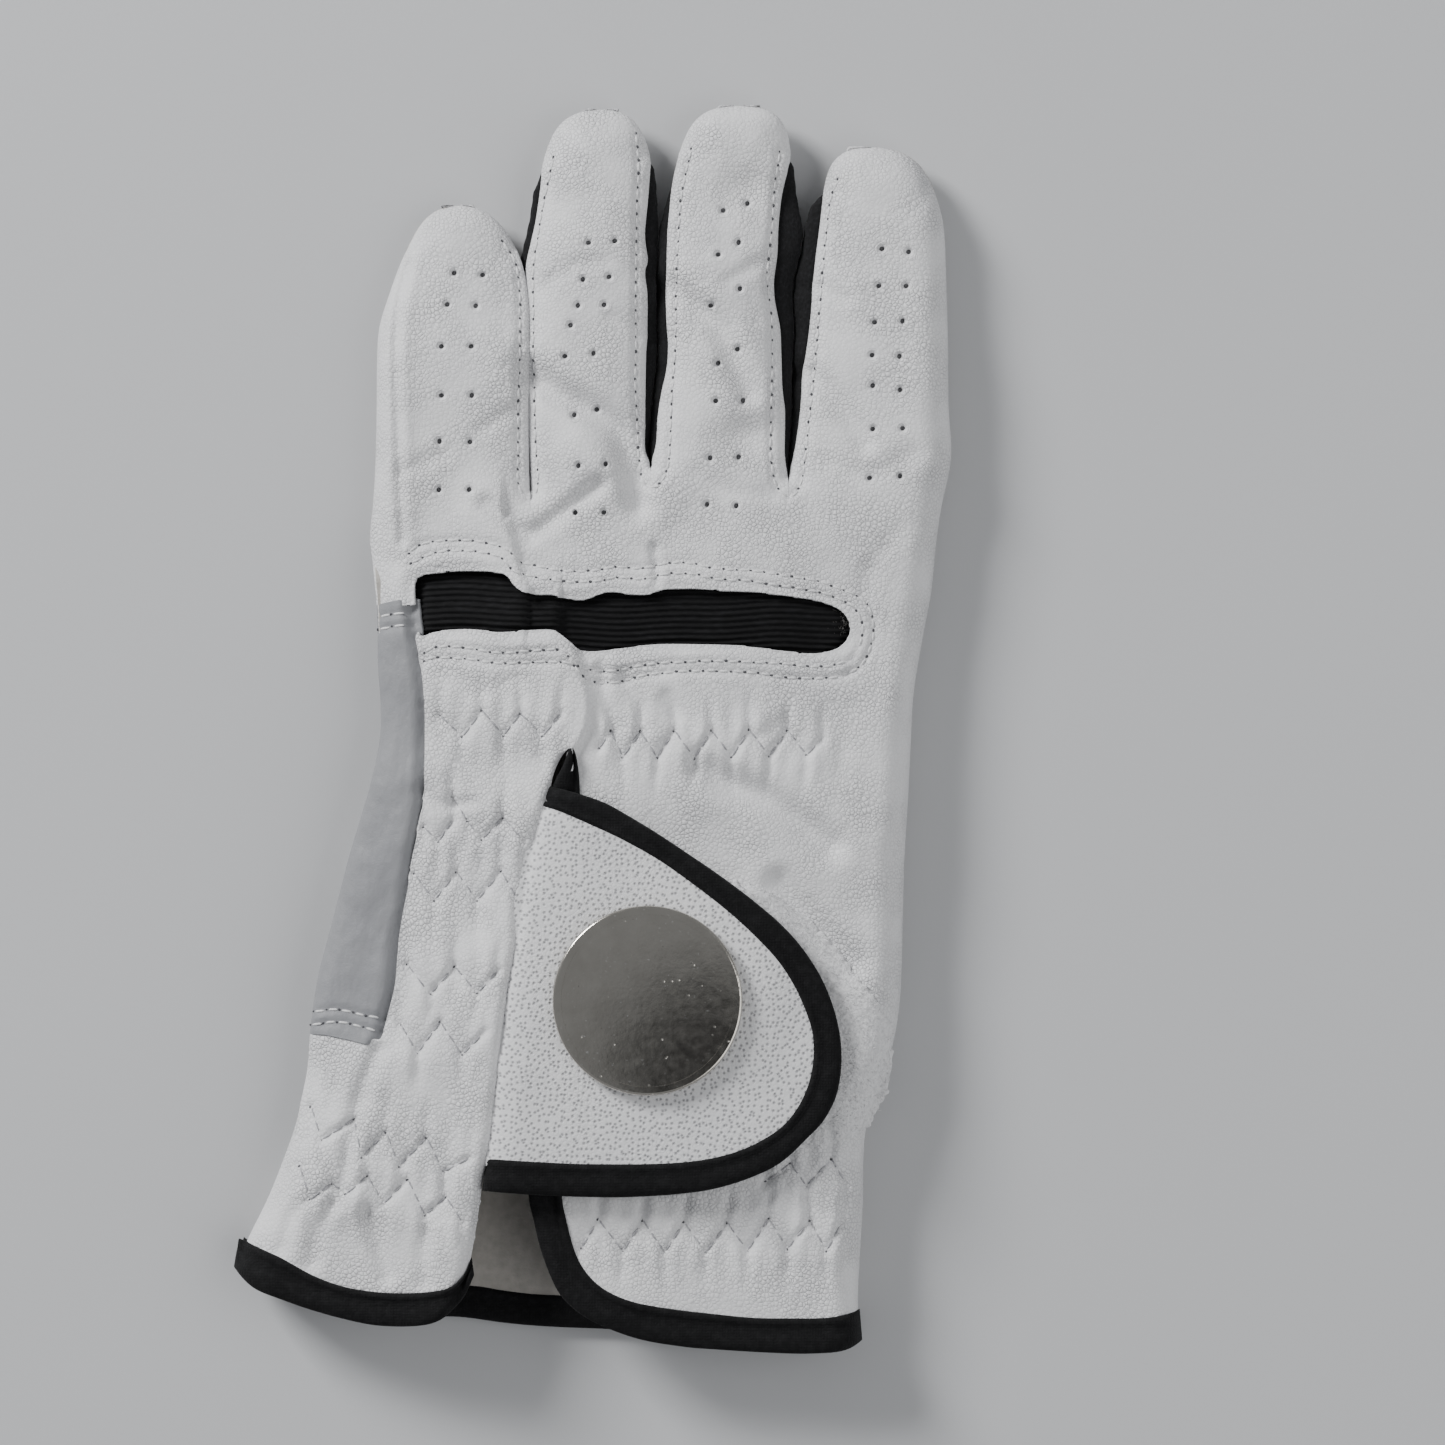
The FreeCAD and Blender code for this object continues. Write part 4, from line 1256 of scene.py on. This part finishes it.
def palm_height(px, py, owner="hand"):
    p = joined(px, py)
    over_thumb = ease((36 - px) / 12.0) * ease((32.5 - py) / 9.0) * ease((py + 76) / 12.0)
    base = FLOOR_Z + 0.4 + 6.1 * over_thumb
    left_d = nearest(p, WALL_LEFT)[0]
    right_d = nearest(p, WALL_RIGHT)[0]
    lift_left = np.maximum(left_wall_z(py) - base, 0) * (1 - quarter(left_d / 5.0))
    lift_right = np.maximum(right_wall_z(py) - base, 0) * (1 - quarter(right_d / 5.0))
    lift = np.maximum(lift_left, lift_right)
    if owner != "hand":
        d = nearest(p, tip_line(owner))[0]
        lift = np.maximum(lift, (3.8 - base) * (1 - quarter(d / 5.0)))
        for (name, _), (line, _) in LIPS.items():
            if name == owner:
                lift = np.maximum(lift, 1.6 * (1 - quarter(nearest(p, line)[0] / 4.0)))
    return base + lift


inset = 0.35 * (ease((LEFT(y) + 3 - x) / 3.0) - ease((x - RIGHT(y) + 3) / 3.0)) * ease((JUNCTION - y) / 3.0)
palm_v = joined(x + inset, y, palm_height(x, y))
PALM_OFF = np.vstack([PALM_HEM_MID, [(62, -97), (62, -115), (-70, -115), (-70, -84)]])
pv, pf = clip(palm_v, hand_f[:, ::-1], -signed(palm_v[:, :2], PALM_OFF))
v, f = slab(pv, pf, PALM_LEATHER)
palm_panel = with_rest(piece("palm_panel", v, f, PALM.material, "hand"), slab.shading)
add_material(palm_panel, INNER.material, len(pf), 2 * len(pf))
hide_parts("palm_leather")


# ---- the ribbed elastic band in the knuckle slot


gx, gy, shape = flat_grid(np.arange(-31.5, 44.5, 0.8), np.arange(8.5, 28.5, 0.16))
d_slot = signed(joined(gx, gy), SLOT)
soft = back_height(gx, gy * 0 + 17.5 + (gy - 17.5) * 0.3, "hand")
bend = 0.35 * np.sin(gx * 0.11 + 1) + 0.15 * np.sin(gx * 0.37)
rib = 0.16 * np.sin((gy + bend) * 2 * math.pi / 0.95) + 0.05 * np.sin(gx * 2.6 + gy * 3.1)
bow = 0.45 * hill(gy - 17.5, 4.5)
band_z = np.minimum(soft, back_height(gx, gy, "hand") + 0.2) - 2.15 + rib + bow
bv, bf = clip(joined(gx, gy, band_z), grid_triangles(*shape), d_slot - 1.4)
v, f = slab(bv, bf, BAND, 0.05)
band = with_rest(piece("knuckle_band", v, f, RIB.material, "hand"))
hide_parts("knuckle_elastic")


# ---- fingers


def blended(obj, finger):
    """Bakes a finger's piece's placement into its mesh; the piece is not bent."""
    mid = CENTRE + np.array([0.5 * (FINGERS[finger][0](45.0) + FINGERS[finger][1](45.0)), 0])
    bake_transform(obj)


SIDES = {"index": ("right",), "middle": ("left", "right"), "ring": ("left", "right"), "little": ("left",)}
KNIT_FADE = {
    ("middle", "right"): 92.0, ("ring", "left"): 87.5, ("ring", "right"): 92.0, ("little", "left"): 91.5,
}
KNIT_CROTCH = {
    ("index", "right"): 0, ("middle", "left"): 0, ("middle", "right"): 1,
    ("ring", "left"): 1, ("ring", "right"): 2, ("little", "left"): 2,
}


def knit_reach(name, side, py):
    """How far a gusset bulges past its leather's edge: to the middle of the gap, and less towards the tip."""
    if (name, side) == ("index", "right"):
        return 0 * py
    if (name, side) == ("middle", "left"):
        return 0.95 * ease((py - 70) / 4.0) * ease((90 - py) / 4.0)
    pair = (RING_RIGHT, LITTLE_LEFT)
    if name == "middle" or (name, side) == ("ring", "left"):
        pair = (MIDDLE_RIGHT, RING_LEFT)
    gap = 0.5 * np.maximum(pair[1](py) - pair[0](py), 0.2) - 0.06
    fade = KNIT_FADE[(name, side)]
    lean = 1.25 if (name, side) in (("middle", "right"), ("ring", "right")) else 0.75
    mix = ease((py - 70) / 10.0)
    return gap * (1 + (lean - 1) * mix) * np.clip((fade - py) / (fade - 80.5), 0, 1) ** 0.8


for name in FINGERS:
    gx, gy = finger_grid(name)
    rows, columns = gx.shape
    gx, gy = gx.ravel(), gy.ravel()
    gz = back_height(gx, gy, name)
    top_v = joined(gx, gy, gz)
    f0 = grid_triangles(rows, columns)
    value = cut_holes(np.full(len(gx), -5.0), gx, gy, HOLES[name])
    kv, kf = clip(top_v, f0, value)
    body_v, body_f = slab(kv, kf, FINGER_LEATHER)
    body_n = slab.shading
    body_v[:, 1] = np.minimum(body_v[:, 1], FINGERS[name][2] + 0.1)
    (rim_v, rim_f), (floor_v, floor_f) = dishes(HOLES[name], lambda px, py, n=name: back_height(px, py, n))
    v, f = merge((body_v, body_f), (rim_v, rim_f), (floor_v, floor_f))
    custom = np.vstack([body_n, normals(v, f)[len(body_n) :]])
    custom = seam_normals(v, custom, name)
    panel = with_rest(piece(name + "_top", v, f, WHITE.material), custom)
    add_material(panel, PUNCH_SHADE.material, len(f) - len(floor_f))
    blended(panel, name)
    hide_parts(name + "_back")

    under_v = joined(gx, gy, palm_height(gx, gy, name))
    v, f = slab(under_v, f0[:, ::-1], SOFT_LEATHER)
    v[:, 1] = np.minimum(v[:, 1], FINGERS[name][2] - 0.3)
    under = with_rest(piece(name + "_under", v, f, PALM.material), slab.shading)
    add_material(under, INNER.material, len(f0), 2 * len(f0))
    blended(under, name)
    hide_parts(name + "_front")

    left, right, top, _ = FINGERS[name]
    nodes = [f"{name}_gusset"] if len(SIDES[name]) == 1 else [f"{name}_gusset_{s}" for s in SIDES[name]]
    for node, side in zip(nodes, SIDES[name]):
        edge = left if side == "left" else right
        sign = 1 if side == "left" else -1
        ys = np.linspace(CROTCHES[KNIT_CROTCH[(name, side)]][1] - 2.5, top - 5.5, 90)
        t = np.linspace(0, 1, 14)
        gy2 = np.repeat(ys[:, None], len(t), axis=1)
        ex = edge(gy2)
        hi = back_height((ex + 0.9 * sign).ravel(), gy2.ravel(), name).reshape(ex.shape) - 0.95
        lo = palm_height((ex + 0.9 * sign).ravel(), gy2.ravel(), name).reshape(ex.shape) + 0.1
        belly = (0.75 + knit_reach(name, side, gy2)) * np.sin(math.pi * np.clip(t / 0.84, 0, 1) ** 0.75)[None]
        tucked = 1.3 * ease((gy2 - (top - 10.0)) / 5.0)
        gx2 = ex + sign * (0.75 - belly * (1 - 0.7 * ease((gy2 - (top - 10.0)) / 5.0)) + tucked)
        fold = 0.10 * np.sin(gy2 * 2.3 + 3 * t[None])
        gz2 = hi * (1 - t)[None] + lo * t[None]
        gv = joined((gx2 + fold * 0.5).ravel(), gy2.ravel(), gz2.ravel())
        gf = grid_triangles(len(ys), len(t))
        gv, gf = slab(gv, gf if side == "right" else gf[:, ::-1], KNIT, 0.05)
        knit = with_rest(piece(f"{name}_knit_{side}", gv, gf, BLACK_KNIT.material))
        blended(knit, name)
        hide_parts(node)

    bag, prick_shades = Bag(), Bag()
    for row in finger_rows[name]:
        clear = row[row[:, 1] > JUNCTION + 0.3]
        stitches(bag, clear, lambda px, py, n=name: back_height(px, py, n), holes=prick_shades)
    sewn = with_rest(stitched(name + "_stitching", bag, prick_shades, None))
    blended(sewn, name)


# ---- stitching on the hand

bag, prick_shades, gathered = Bag(), Bag(), Bag()
for key, row in hand_rows.items():
    lift = 0.35 if key in PATCH_ROWS else 0.0
    stitches(bag, row, lambda px, py, dz=lift: hand_top(px, py) + dz, holes=prick_shades)
for row in ZIGZAGS.values():
    for a, b in zip(row[:-1], row[1:]):
        limb = even(np.array([a, b]), step=0.3)
        stitches(gathered, limb, hand_top, length=2.0, gap=0.25, radius=0.15, seat=0.12, jitter=0.02)
        dots = even(np.array([a, b]), count=3)[:2]
        corner = even(np.array([dots[0] - 0.1, dots[0] + 0.1]), count=3)
        stitches(gathered, corner, hand_top, length=0.2, gap=0.1, holes=prick_shades)
sewn = with_rest(stitched("hand_stitching", bag, prick_shades, "hand", gathered))


# ---- bound edges


def hem_height(px, py):
    return back_height(px, py, "hand") - 0.15


def left_hem_height(px, py):
    return hand_top(px, py) - 0.1


def palm_hem_height(px, py):
    return palm_height(px, py) + 0.45


slit_tape = with_rest(
    ribbon("slit_tape", TAPE_INNER, TAPE_OUTER, hem_height, 2.3, TAPE.material, "hand", groove=0.75)
)
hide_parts("slit_binding", "hem_binding_right")
left_hem = with_rest(
    ribbon("left_hem_tape", LEFT_HEM_TOP, LEFT_HEM_LOW, left_hem_height, 2.5, TAPE.material, "hand",
        groove=0.75)
)
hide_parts("hem_binding_left")
palm_hem = with_rest(
    ribbon("palm_hem_tape", PALM_HEM_TOP, PALM_HEM_LOW, palm_hem_height, 1.9, TAPE.material, "hand",
        groove=0.25)
)
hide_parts("hem_binding_palm")


# ---- the hidden elastic tapes that the zigzag rows hold

TAPES = {
    "back_elastic": [((1, -2.6), (38.5, -2.6))],
    "strip_elastics": [((-24.5, 0.6), (-6, 0.6)), ((-27, -16.2), (-11.2, -16.2)), ((-28.5, -25.4),
        (-12.4, -25.4)), ((-29.7, -40.4), (-15, -40.4)), ((-30.7, -50), (-17, -50))],
    "cuff_elastic_left": [((-44.6, -63), (-20.5, -68.2)), ((-46.5, -73), (-21.5, -76.4))],
    "cuff_elastic_right": [((27, -71.4), (41.5, -71.4)), ((-1.5, -81.8), (40.5, -81.8))],
}
for node, runs in TAPES.items():
    bag = Bag()
    for a, b in runs:
        a, b = np.array(a, float), np.array(b, float)
        along = (b - a) / np.linalg.norm(b - a)
        across = np.array([-along[1], along[0]])
        n = int(np.linalg.norm(b - a) / 0.8)
        s, w = np.meshgrid(np.linspace(0, 1, n), np.linspace(-2.0, 2.0, 7))
        px = a[0] + (b - a)[0] * s.ravel() + across[0] * w.ravel()
        py = a[1] + (b - a)[1] * s.ravel() + across[1] * w.ravel()
        pz = hand_top(px, py) - 1.05
        tv, tf = slab(joined(px, py, pz), grid_triangles(7, n), HIDDEN_TAPE, 0.05)
        bag.add(tv, tf)
    v, f = bag.done()
    hidden = with_rest(piece(node.replace("elastic", "tape"), v, f, ELASTIC.material, "hand"))
    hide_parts(node)


# ---- the loop patch


def loop_height(px, py):
    return back_height(px, py, "hand") + 0.12


ragged = LOOP_EDGE + 0.22 * rng.standard_normal(LOOP_EDGE.shape)
gx, gy, shape = flat_grid(np.arange(18, 50.5, 0.4), np.arange(-70, -23, 0.4))
gz = loop_height(gx, gy) + 0.5 + rng.uniform(-0.07, 0.10, len(gx))
sd = signed(joined(gx, gy), ragged)
gz -= 0.35 * (1 - quarter(-sd / 1.2))
lv, lf = clip(joined(gx, gy, gz), grid_triangles(*shape), sd)
v, f = slab(lv, lf, LOOP_TAPE, 0.08)


def fibres(centres, bases, length, thick, spread_out, bag):
    """Short bent hairs, each a thin three-sided strand."""
    for (cx, cy), base in zip(centres, bases):
        az = rng.uniform(0, 2 * math.pi)
        arc = rng.uniform(0.5, 1.0) * length
        out = rng.uniform(0, spread_out)
        dx, dy = math.cos(az), math.sin(az)
        pts = []
        for t in (0, 0.33, 0.66, 1.0):
            rise = arc * math.sin(math.pi * t * 0.75)
            pts.append((cx + dx * out * t, cy + dy * out * t, base + rise))
        rings = []
        for k, (px, py, pz) in enumerate(pts):
            r = thick * (1 - 0.75 * k / 3)
            rings += [(px - dy * r, py + dx * r, pz), (px + dy * r, py - dx * r, pz)]
            rings += [(px + dx * r * 0.5, py + dy * r * 0.5, pz + r)]
        faces = []
        for k in range(3):
            for j in range(3):
                p, q = 3 * k + j, 3 * k + (j + 1) % 3
                faces += [(p, q, q + 3), (p, q + 3, p + 3)]
        faces += [(0, 2, 1), (9, 10, 11)]
        bag.add(np.array(rings), np.array(faces))


bag = Bag()
bag.add(v, f)
PILE_HAIRS, FRAY_HAIRS = 5200, 130
cx, cy = rng.uniform(19, 49, PILE_HAIRS), rng.uniform(-69, -25, PILE_HAIRS)
ok = inside(joined(cx, cy), LOOP_EDGE)
pile_points = joined(cx[ok], cy[ok])
pile_z = loop_height(pile_points[:, 0], pile_points[:, 1]) + 0.45
fibres(pile_points, pile_z, 0.38, 0.045, 0.8, bag)
v, f = bag.done()
loop = with_rest(piece("loop_pile", v, f, LOOP.material, "hand"))
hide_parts("loop_patch")


# ---- frayed fibres at the elastic's rounded end

bag = Bag()
angle, away = rng.uniform(0, 2 * math.pi, FRAY_HAIRS), 1.9 * np.sqrt(rng.uniform(0, 1, FRAY_HAIRS))
tuft = joined(39.3 + away * np.cos(angle), 16.8 + away * np.sin(angle))
fibres(tuft, sample(crown_raster, tuft[:, 0], tuft[:, 1]) - 1.9, 0.7, 0.035, 1.6, bag)
v, f = bag.done()
fray = with_rest(piece("frayed_fibres", v, f, FRAY.material, "hand"))


# ---- the closure tab

ROOT_LINE = STRIP_EDGE[(STRIP_EDGE[:, 1] < -8) & (STRIP_EDGE[:, 1] > -76)] - np.array([0.5, 0])
ROOT_SHOWN = ROOT_LINE[(ROOT_LINE[:, 1] < -11.5) & (ROOT_LINE[:, 1] > -69.5)]
TAB_FIELD_AREA = np.vstack([TAB_INNER, ROOT_SHOWN[::-1]])


def tab_height(px, py):
    d = np.hypot(px - DISC[0], py - DISC[1])
    flat = ease((25 - d) / 10.0)
    base = sample(crown_raster, px, py) + 3.0
    right_d = nearest(joined(px, py), WALL_RIGHT)[0]
    base = base - np.maximum(base - right_wall_z(py), 0) * (1 - quarter(right_d / 9.0)) * 0.6
    z = np.minimum(base, 16.3) * (1 - flat) + 15.95 * flat
    root = np.interp(py, STRIP_EDGE[::-1, 1], STRIP_EDGE[::-1, 0])
    z = z - 1.9 * (1 - quarter((px - root) / 8.0)) * ease((py + 80) / 6.0)
    return z + 0.12 * sample(TAB_NOISE, px, py)


TAB_NOISE = noise(15, 13, 61) + 0.4 * noise(6, 6, 62)
gx, gy, shape = flat_grid(np.arange(-20, 41, 0.5), np.arange(-77, -8, 0.5))
grid_f = grid_triangles(*shape)
points = joined(gx, gy)
tab_z = tab_height(gx, gy)
field_sd = signed(points, TAB_FIELD_AREA)


def tab_piece(name, node, sd_limit, drop, thickness, material):
    tv, tf = clip(joined(gx, gy, tab_z - drop), grid_f, field_sd - sd_limit)
    tv, tf = slab(tv, tf, thickness, 0.1)
    obj = with_rest(piece(name, tv, tf, material), slab.shading)
    bend_tab(obj)
    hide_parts(node)
    return obj


def bend_tab(obj):
    """Bakes a tab piece's placement into its mesh; the piece is not bent."""
    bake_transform(obj)
    return obj


tab_piece("tab_panel", "tab_leather", 0.9, 0.0, SOFT_LEATHER, TAB.material)
tab_piece("tab_backing", "tab_lining", 0.9, 0.78, LINING_CLOTH, LINING.material)
PAD = smooth([(17, -32), (23, -32), (32, -43), (34, -53), (30, -62), (22, -66.5), (17, -66.5)],
    0.5, closed=True)
pad_sd = np.maximum(signed(points, PAD), field_sd + 0.4)
hv, hf = clip(joined(gx, gy, tab_z - 1.30), grid_f, pad_sd)
hv, hf = slab(hv, hf, HOOK_TAPE, 0.05)
bag = Bag()
bag.add(hv, hf)
cx, cy, _ = flat_grid(np.arange(17.5, 34, 1.1), np.arange(-66, -32, 1.1))
p = joined(cx, cy)
ok = (signed(p, PAD) < -0.5) & (signed(p, TAB_FIELD_AREA) < -0.9)
hz = tab_height(cx[ok], cy[ok]) - 1.6
HOOK_HALF, HOOK_LEAN = 0.13, 0.2
SQUARE = np.array([(-1, -1), (1, -1), (1, 1), (-1, 1)]) * HOOK_HALF
HOOK_FACES = np.array([
    (0, 1, 5), (0, 5, 4), (1, 2, 6), (1, 6, 5), (2, 3, 7), (2, 7, 6), (3, 0, 4), (3, 4, 7), (4, 5, 6),
    (4, 6, 7), (0, 3, 2), (0, 2, 1),
])
for (px, py), pz in zip(p[ok], hz):
    foot = np.column_stack([SQUARE + (px, py), np.full(4, pz + 0.05)])
    tip = np.column_stack([SQUARE + (px + HOOK_LEAN, py), np.full(4, pz - 0.28)])
    bag.add(np.vstack([foot, tip]), HOOK_FACES)
v, f = bag.done()
hooks = bend_tab(with_rest(piece("hook_pile", v, f, HOOK.material)))
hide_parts("hook_pad")


def tab_hem_height(px, py):
    return tab_height(px, py) - 0.4


tab_tape = ribbon(
    "tab_tape", TAB_INNER, TAB_OUTER, tab_hem_height, 2.4, TAPE.material, None, groove=0.5, groove_at=0.3
)
bend_tab(with_rest(tab_tape))
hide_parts("tab_binding")


# ---- the thumb stall

THUMB_ANGLE = math.radians(48)
THUMB = smooth([(-13, 0), (-13, 16.5), (-11.8, 28), (-10, 38.5), (-7.6, 50.4), (-4.2, 54.2), (0, 55),
    (4.2, 54.2), (7.6, 50.4), (10, 38.5), (11.8, 28), (13, 16.5), (13, 0)], 0.6)
gx, gy, shape = flat_grid(np.arange(-13.5, 13.6, 0.5), np.arange(0, 55.6, 0.5))
local = joined(gx, gy)
d_open = nearest(local, THUMB)[0]
sd = signed(local, THUMB)
stall = 1 - quarter(np.where(sd < 0, d_open, 0) / 7.0)
wrinkle = 0.12 * np.sin(gy * 0.8 + 0.6 * np.sin(gx * 0.5)) + 0.06 * np.sin(gx * 0.9 + gy * 0.3)


def placed(v):
    """From the thumb's own lines to the hand's."""
    c, s = math.cos(THUMB_ANGLE), math.sin(THUMB_ANGLE)
    out = v.copy()
    out[:, 0] = -28 + v[:, 1] * c + v[:, 0] * s
    out[:, 1] = -34 + v[:, 1] * s - v[:, 0] * c
    return out


for name, node, level, sign, look, slot_name in (
    ("thumb_top", "thumb_back", 5.55 - 2.6 * stall + wrinkle * (1 - stall), 1, WHITE, "white_leather"),
    ("thumb_under", "thumb_front", 0.75 + 2.0 * stall, -1, PALM, "palm_leather"),
):
    tv, tf = clip(joined(gx, gy, level), grid_triangles(*shape), sd)
    tv = placed(tv)
    if normals(tv, tf)[:, 2].mean() * sign < 0:
        tf = tf[:, ::-1]
    sv, sf = slab(tv, tf, SOFT_LEATHER, 0.1)
    stall_piece = with_rest(piece(name, sv, sf, look.material, "thumb"), slab.shading)
    if sign < 0:
        add_material(stall_piece, INNER.material, len(tf), 2 * len(tf))
    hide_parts(node)
bag = Bag()
thumb_row = placed(np.column_stack([THUMB * np.array([0.86, 0.97]), np.zeros(len(THUMB))]))[:, :2]
stitches(bag, thumb_row, lambda px, py: px * 0 + 5.15)
v, f = bag.done()
thumb_sewn = with_rest(piece("thumb_stitching", v, f, THREAD.material, "thumb"))


# ---- metal

METAL = Look("worn nickel", rgb(203, 199, 191), 0.2, specular=0.5, metallic=1.0).use_object_space()
METAL.mottle(rgb(184, 180, 172), 0.35, 0.7, 0.6, 260, 5)
METAL.mottle(rgb(236, 234, 230), 0.66, 0.74, 0.9, 1500, 4)
METAL.mottle(rgb(224, 222, 218), 0.66, 0.76, 0.35, 900, 5, stretch=(1, 0.03, 1), turn=0.5)
METAL.grain(0.008, 1400, 5)
METAL.grain(0.03, 120, 2)
SPECKS = METAL.ramp(METAL.cells(620), 0.05, 0.13, 1, 0)
METAL.raise_by(METAL.sum(SPECKS, METAL.ramp(METAL.noise(230, 3), 0.5, 0.58), "MULTIPLY"), 0.05)
METAL.rough(METAL.noise(700, 5), 0.08, 0.24)
dish = METAL.nodes.new("ShaderNodeVectorMath")
dish.operation = "DISTANCE"
METAL.links.new(METAL.position, dish.inputs[0])
dish.inputs[1].default_value = ((DISC[0] + CENTRE[0]) * MM, (DISC[1] + CENTRE[1]) * MM, 0.018)
crowned = METAL.ramp(dish.outputs["Value"], 0, 0.0152, 0, 1)
METAL.raise_by(METAL.sum(METAL.sum(crowned, crowned, "MULTIPLY"), -1.0, "MULTIPLY"), 0.4)
STEEL = Look("magnet steel", rgb(150, 150, 150), 0.4, specular=0.5, metallic=1.0).use_object_space()
STEEL.mottle(rgb(110, 110, 112), 0.4, 0.7, 1, 600, 4)
STEEL.grain(0.02, 2600, 4)
for name, look in (("ball_marker", METAL), ("marker_seat", STEEL)):
    for o in bpy.context.scene.objects:
        if o.type == "MESH" and o.get("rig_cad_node") == name:
            for holder in o.material_slots:
                holder.material = look.material
            if not o.material_slots:
                o.data.materials.append(look.material)


# ------------------------------------------------------------------ stage

mesh = bpy.data.meshes.new("floor")
HALF = 1.6
mesh.from_pydata([(-HALF, -HALF, 0), (HALF, -HALF, 0), (HALF, HALF, 0), (-HALF, HALF, 0)], [], [(0, 1, 2, 3)])
floor = bpy.data.objects.new("floor", mesh)
bpy.context.collection.objects.link(floor)
floor.location.z = -0.0002
FLOOR = Look("pale paper", rgb(196, 197, 199), 0.85, specular=0.2).use_object_space()
FLOOR.grain(0.02, 1500, 3)
FLOOR.mottle(rgb(190, 191, 193), 0.4, 0.7, 0.25, 6, 2)
mesh.materials.append(FLOOR.material)


def area_light(name, place, target, size, power, colour=(1, 1, 1)):
    data = bpy.data.lights.new(name, "AREA")
    data.shape = "RECTANGLE"
    data.size, data.size_y = size
    data.energy = power
    data.color = colour
    lamp = bpy.data.objects.new(name, data)
    bpy.context.collection.objects.link(lamp)
    lamp.location = place
    lamp.rotation_euler = (Vector(target) - Vector(place)).to_track_quat("-Z", "Y").to_euler()
    return lamp


KEY_POWER, FILL_POWER = 28.0, 9.0
area_light("key", (-0.95, 0.85, 0.68), (0, 0, 0), (0.45, 0.45), KEY_POWER)
area_light("fill", (1.0, -0.3, 0.9), (0, 0, 0), (1.4, 1.4), FILL_POWER)

# a plain bright world with a darker patch near the zenith, which the disc reflects at its lower right
WORLD_STRENGTH, DARK_STRENGTH = 0.29, 0.03
world = bpy.data.worlds.new("studio")
bpy.context.scene.world = world
world.use_nodes = True
backdrop = world.node_tree.nodes["Background"]
backdrop.inputs["Color"].default_value = (0.95, 0.97, 1.0, 1)
direction = world.node_tree.nodes.new("ShaderNodeTexCoord")
toward = world.node_tree.nodes.new("ShaderNodeVectorMath")
toward.operation = "DOT_PRODUCT"
toward.inputs[1].default_value = Vector((0.075, -0.135, 1.0)).normalized()
world.node_tree.links.new(direction.outputs["Generated"], toward.inputs[0])
shade = world.node_tree.nodes.new("ShaderNodeMapRange")
shade.interpolation_type = "SMOOTHSTEP"
Look.set(shade, {
    "From Min": math.cos(math.radians(9.5)), "From Max": math.cos(math.radians(5.0)),
    "To Min": WORLD_STRENGTH, "To Max": DARK_STRENGTH,
})
world.node_tree.links.new(toward.outputs["Value"], shade.inputs["Value"])
world.node_tree.links.new(shade.outputs["Result"], backdrop.inputs["Strength"])

camera_data = bpy.data.cameras.new("camera")
camera = bpy.data.objects.new("camera", camera_data)
bpy.context.collection.objects.link(camera)
DISTANCE, FRAME_WIDTH, AIM = 1.15, 0.23306, ((21.0 - 0.1) * MM, (0.8 + 0.269) * MM)
camera.location = (AIM[0], AIM[1], DISTANCE + 0.008)
camera_data.sensor_width = 36
camera_data.lens = 36 * DISTANCE / FRAME_WIDTH
camera_data.clip_start, camera_data.clip_end = 0.05, 10
bpy.context.scene.camera = camera
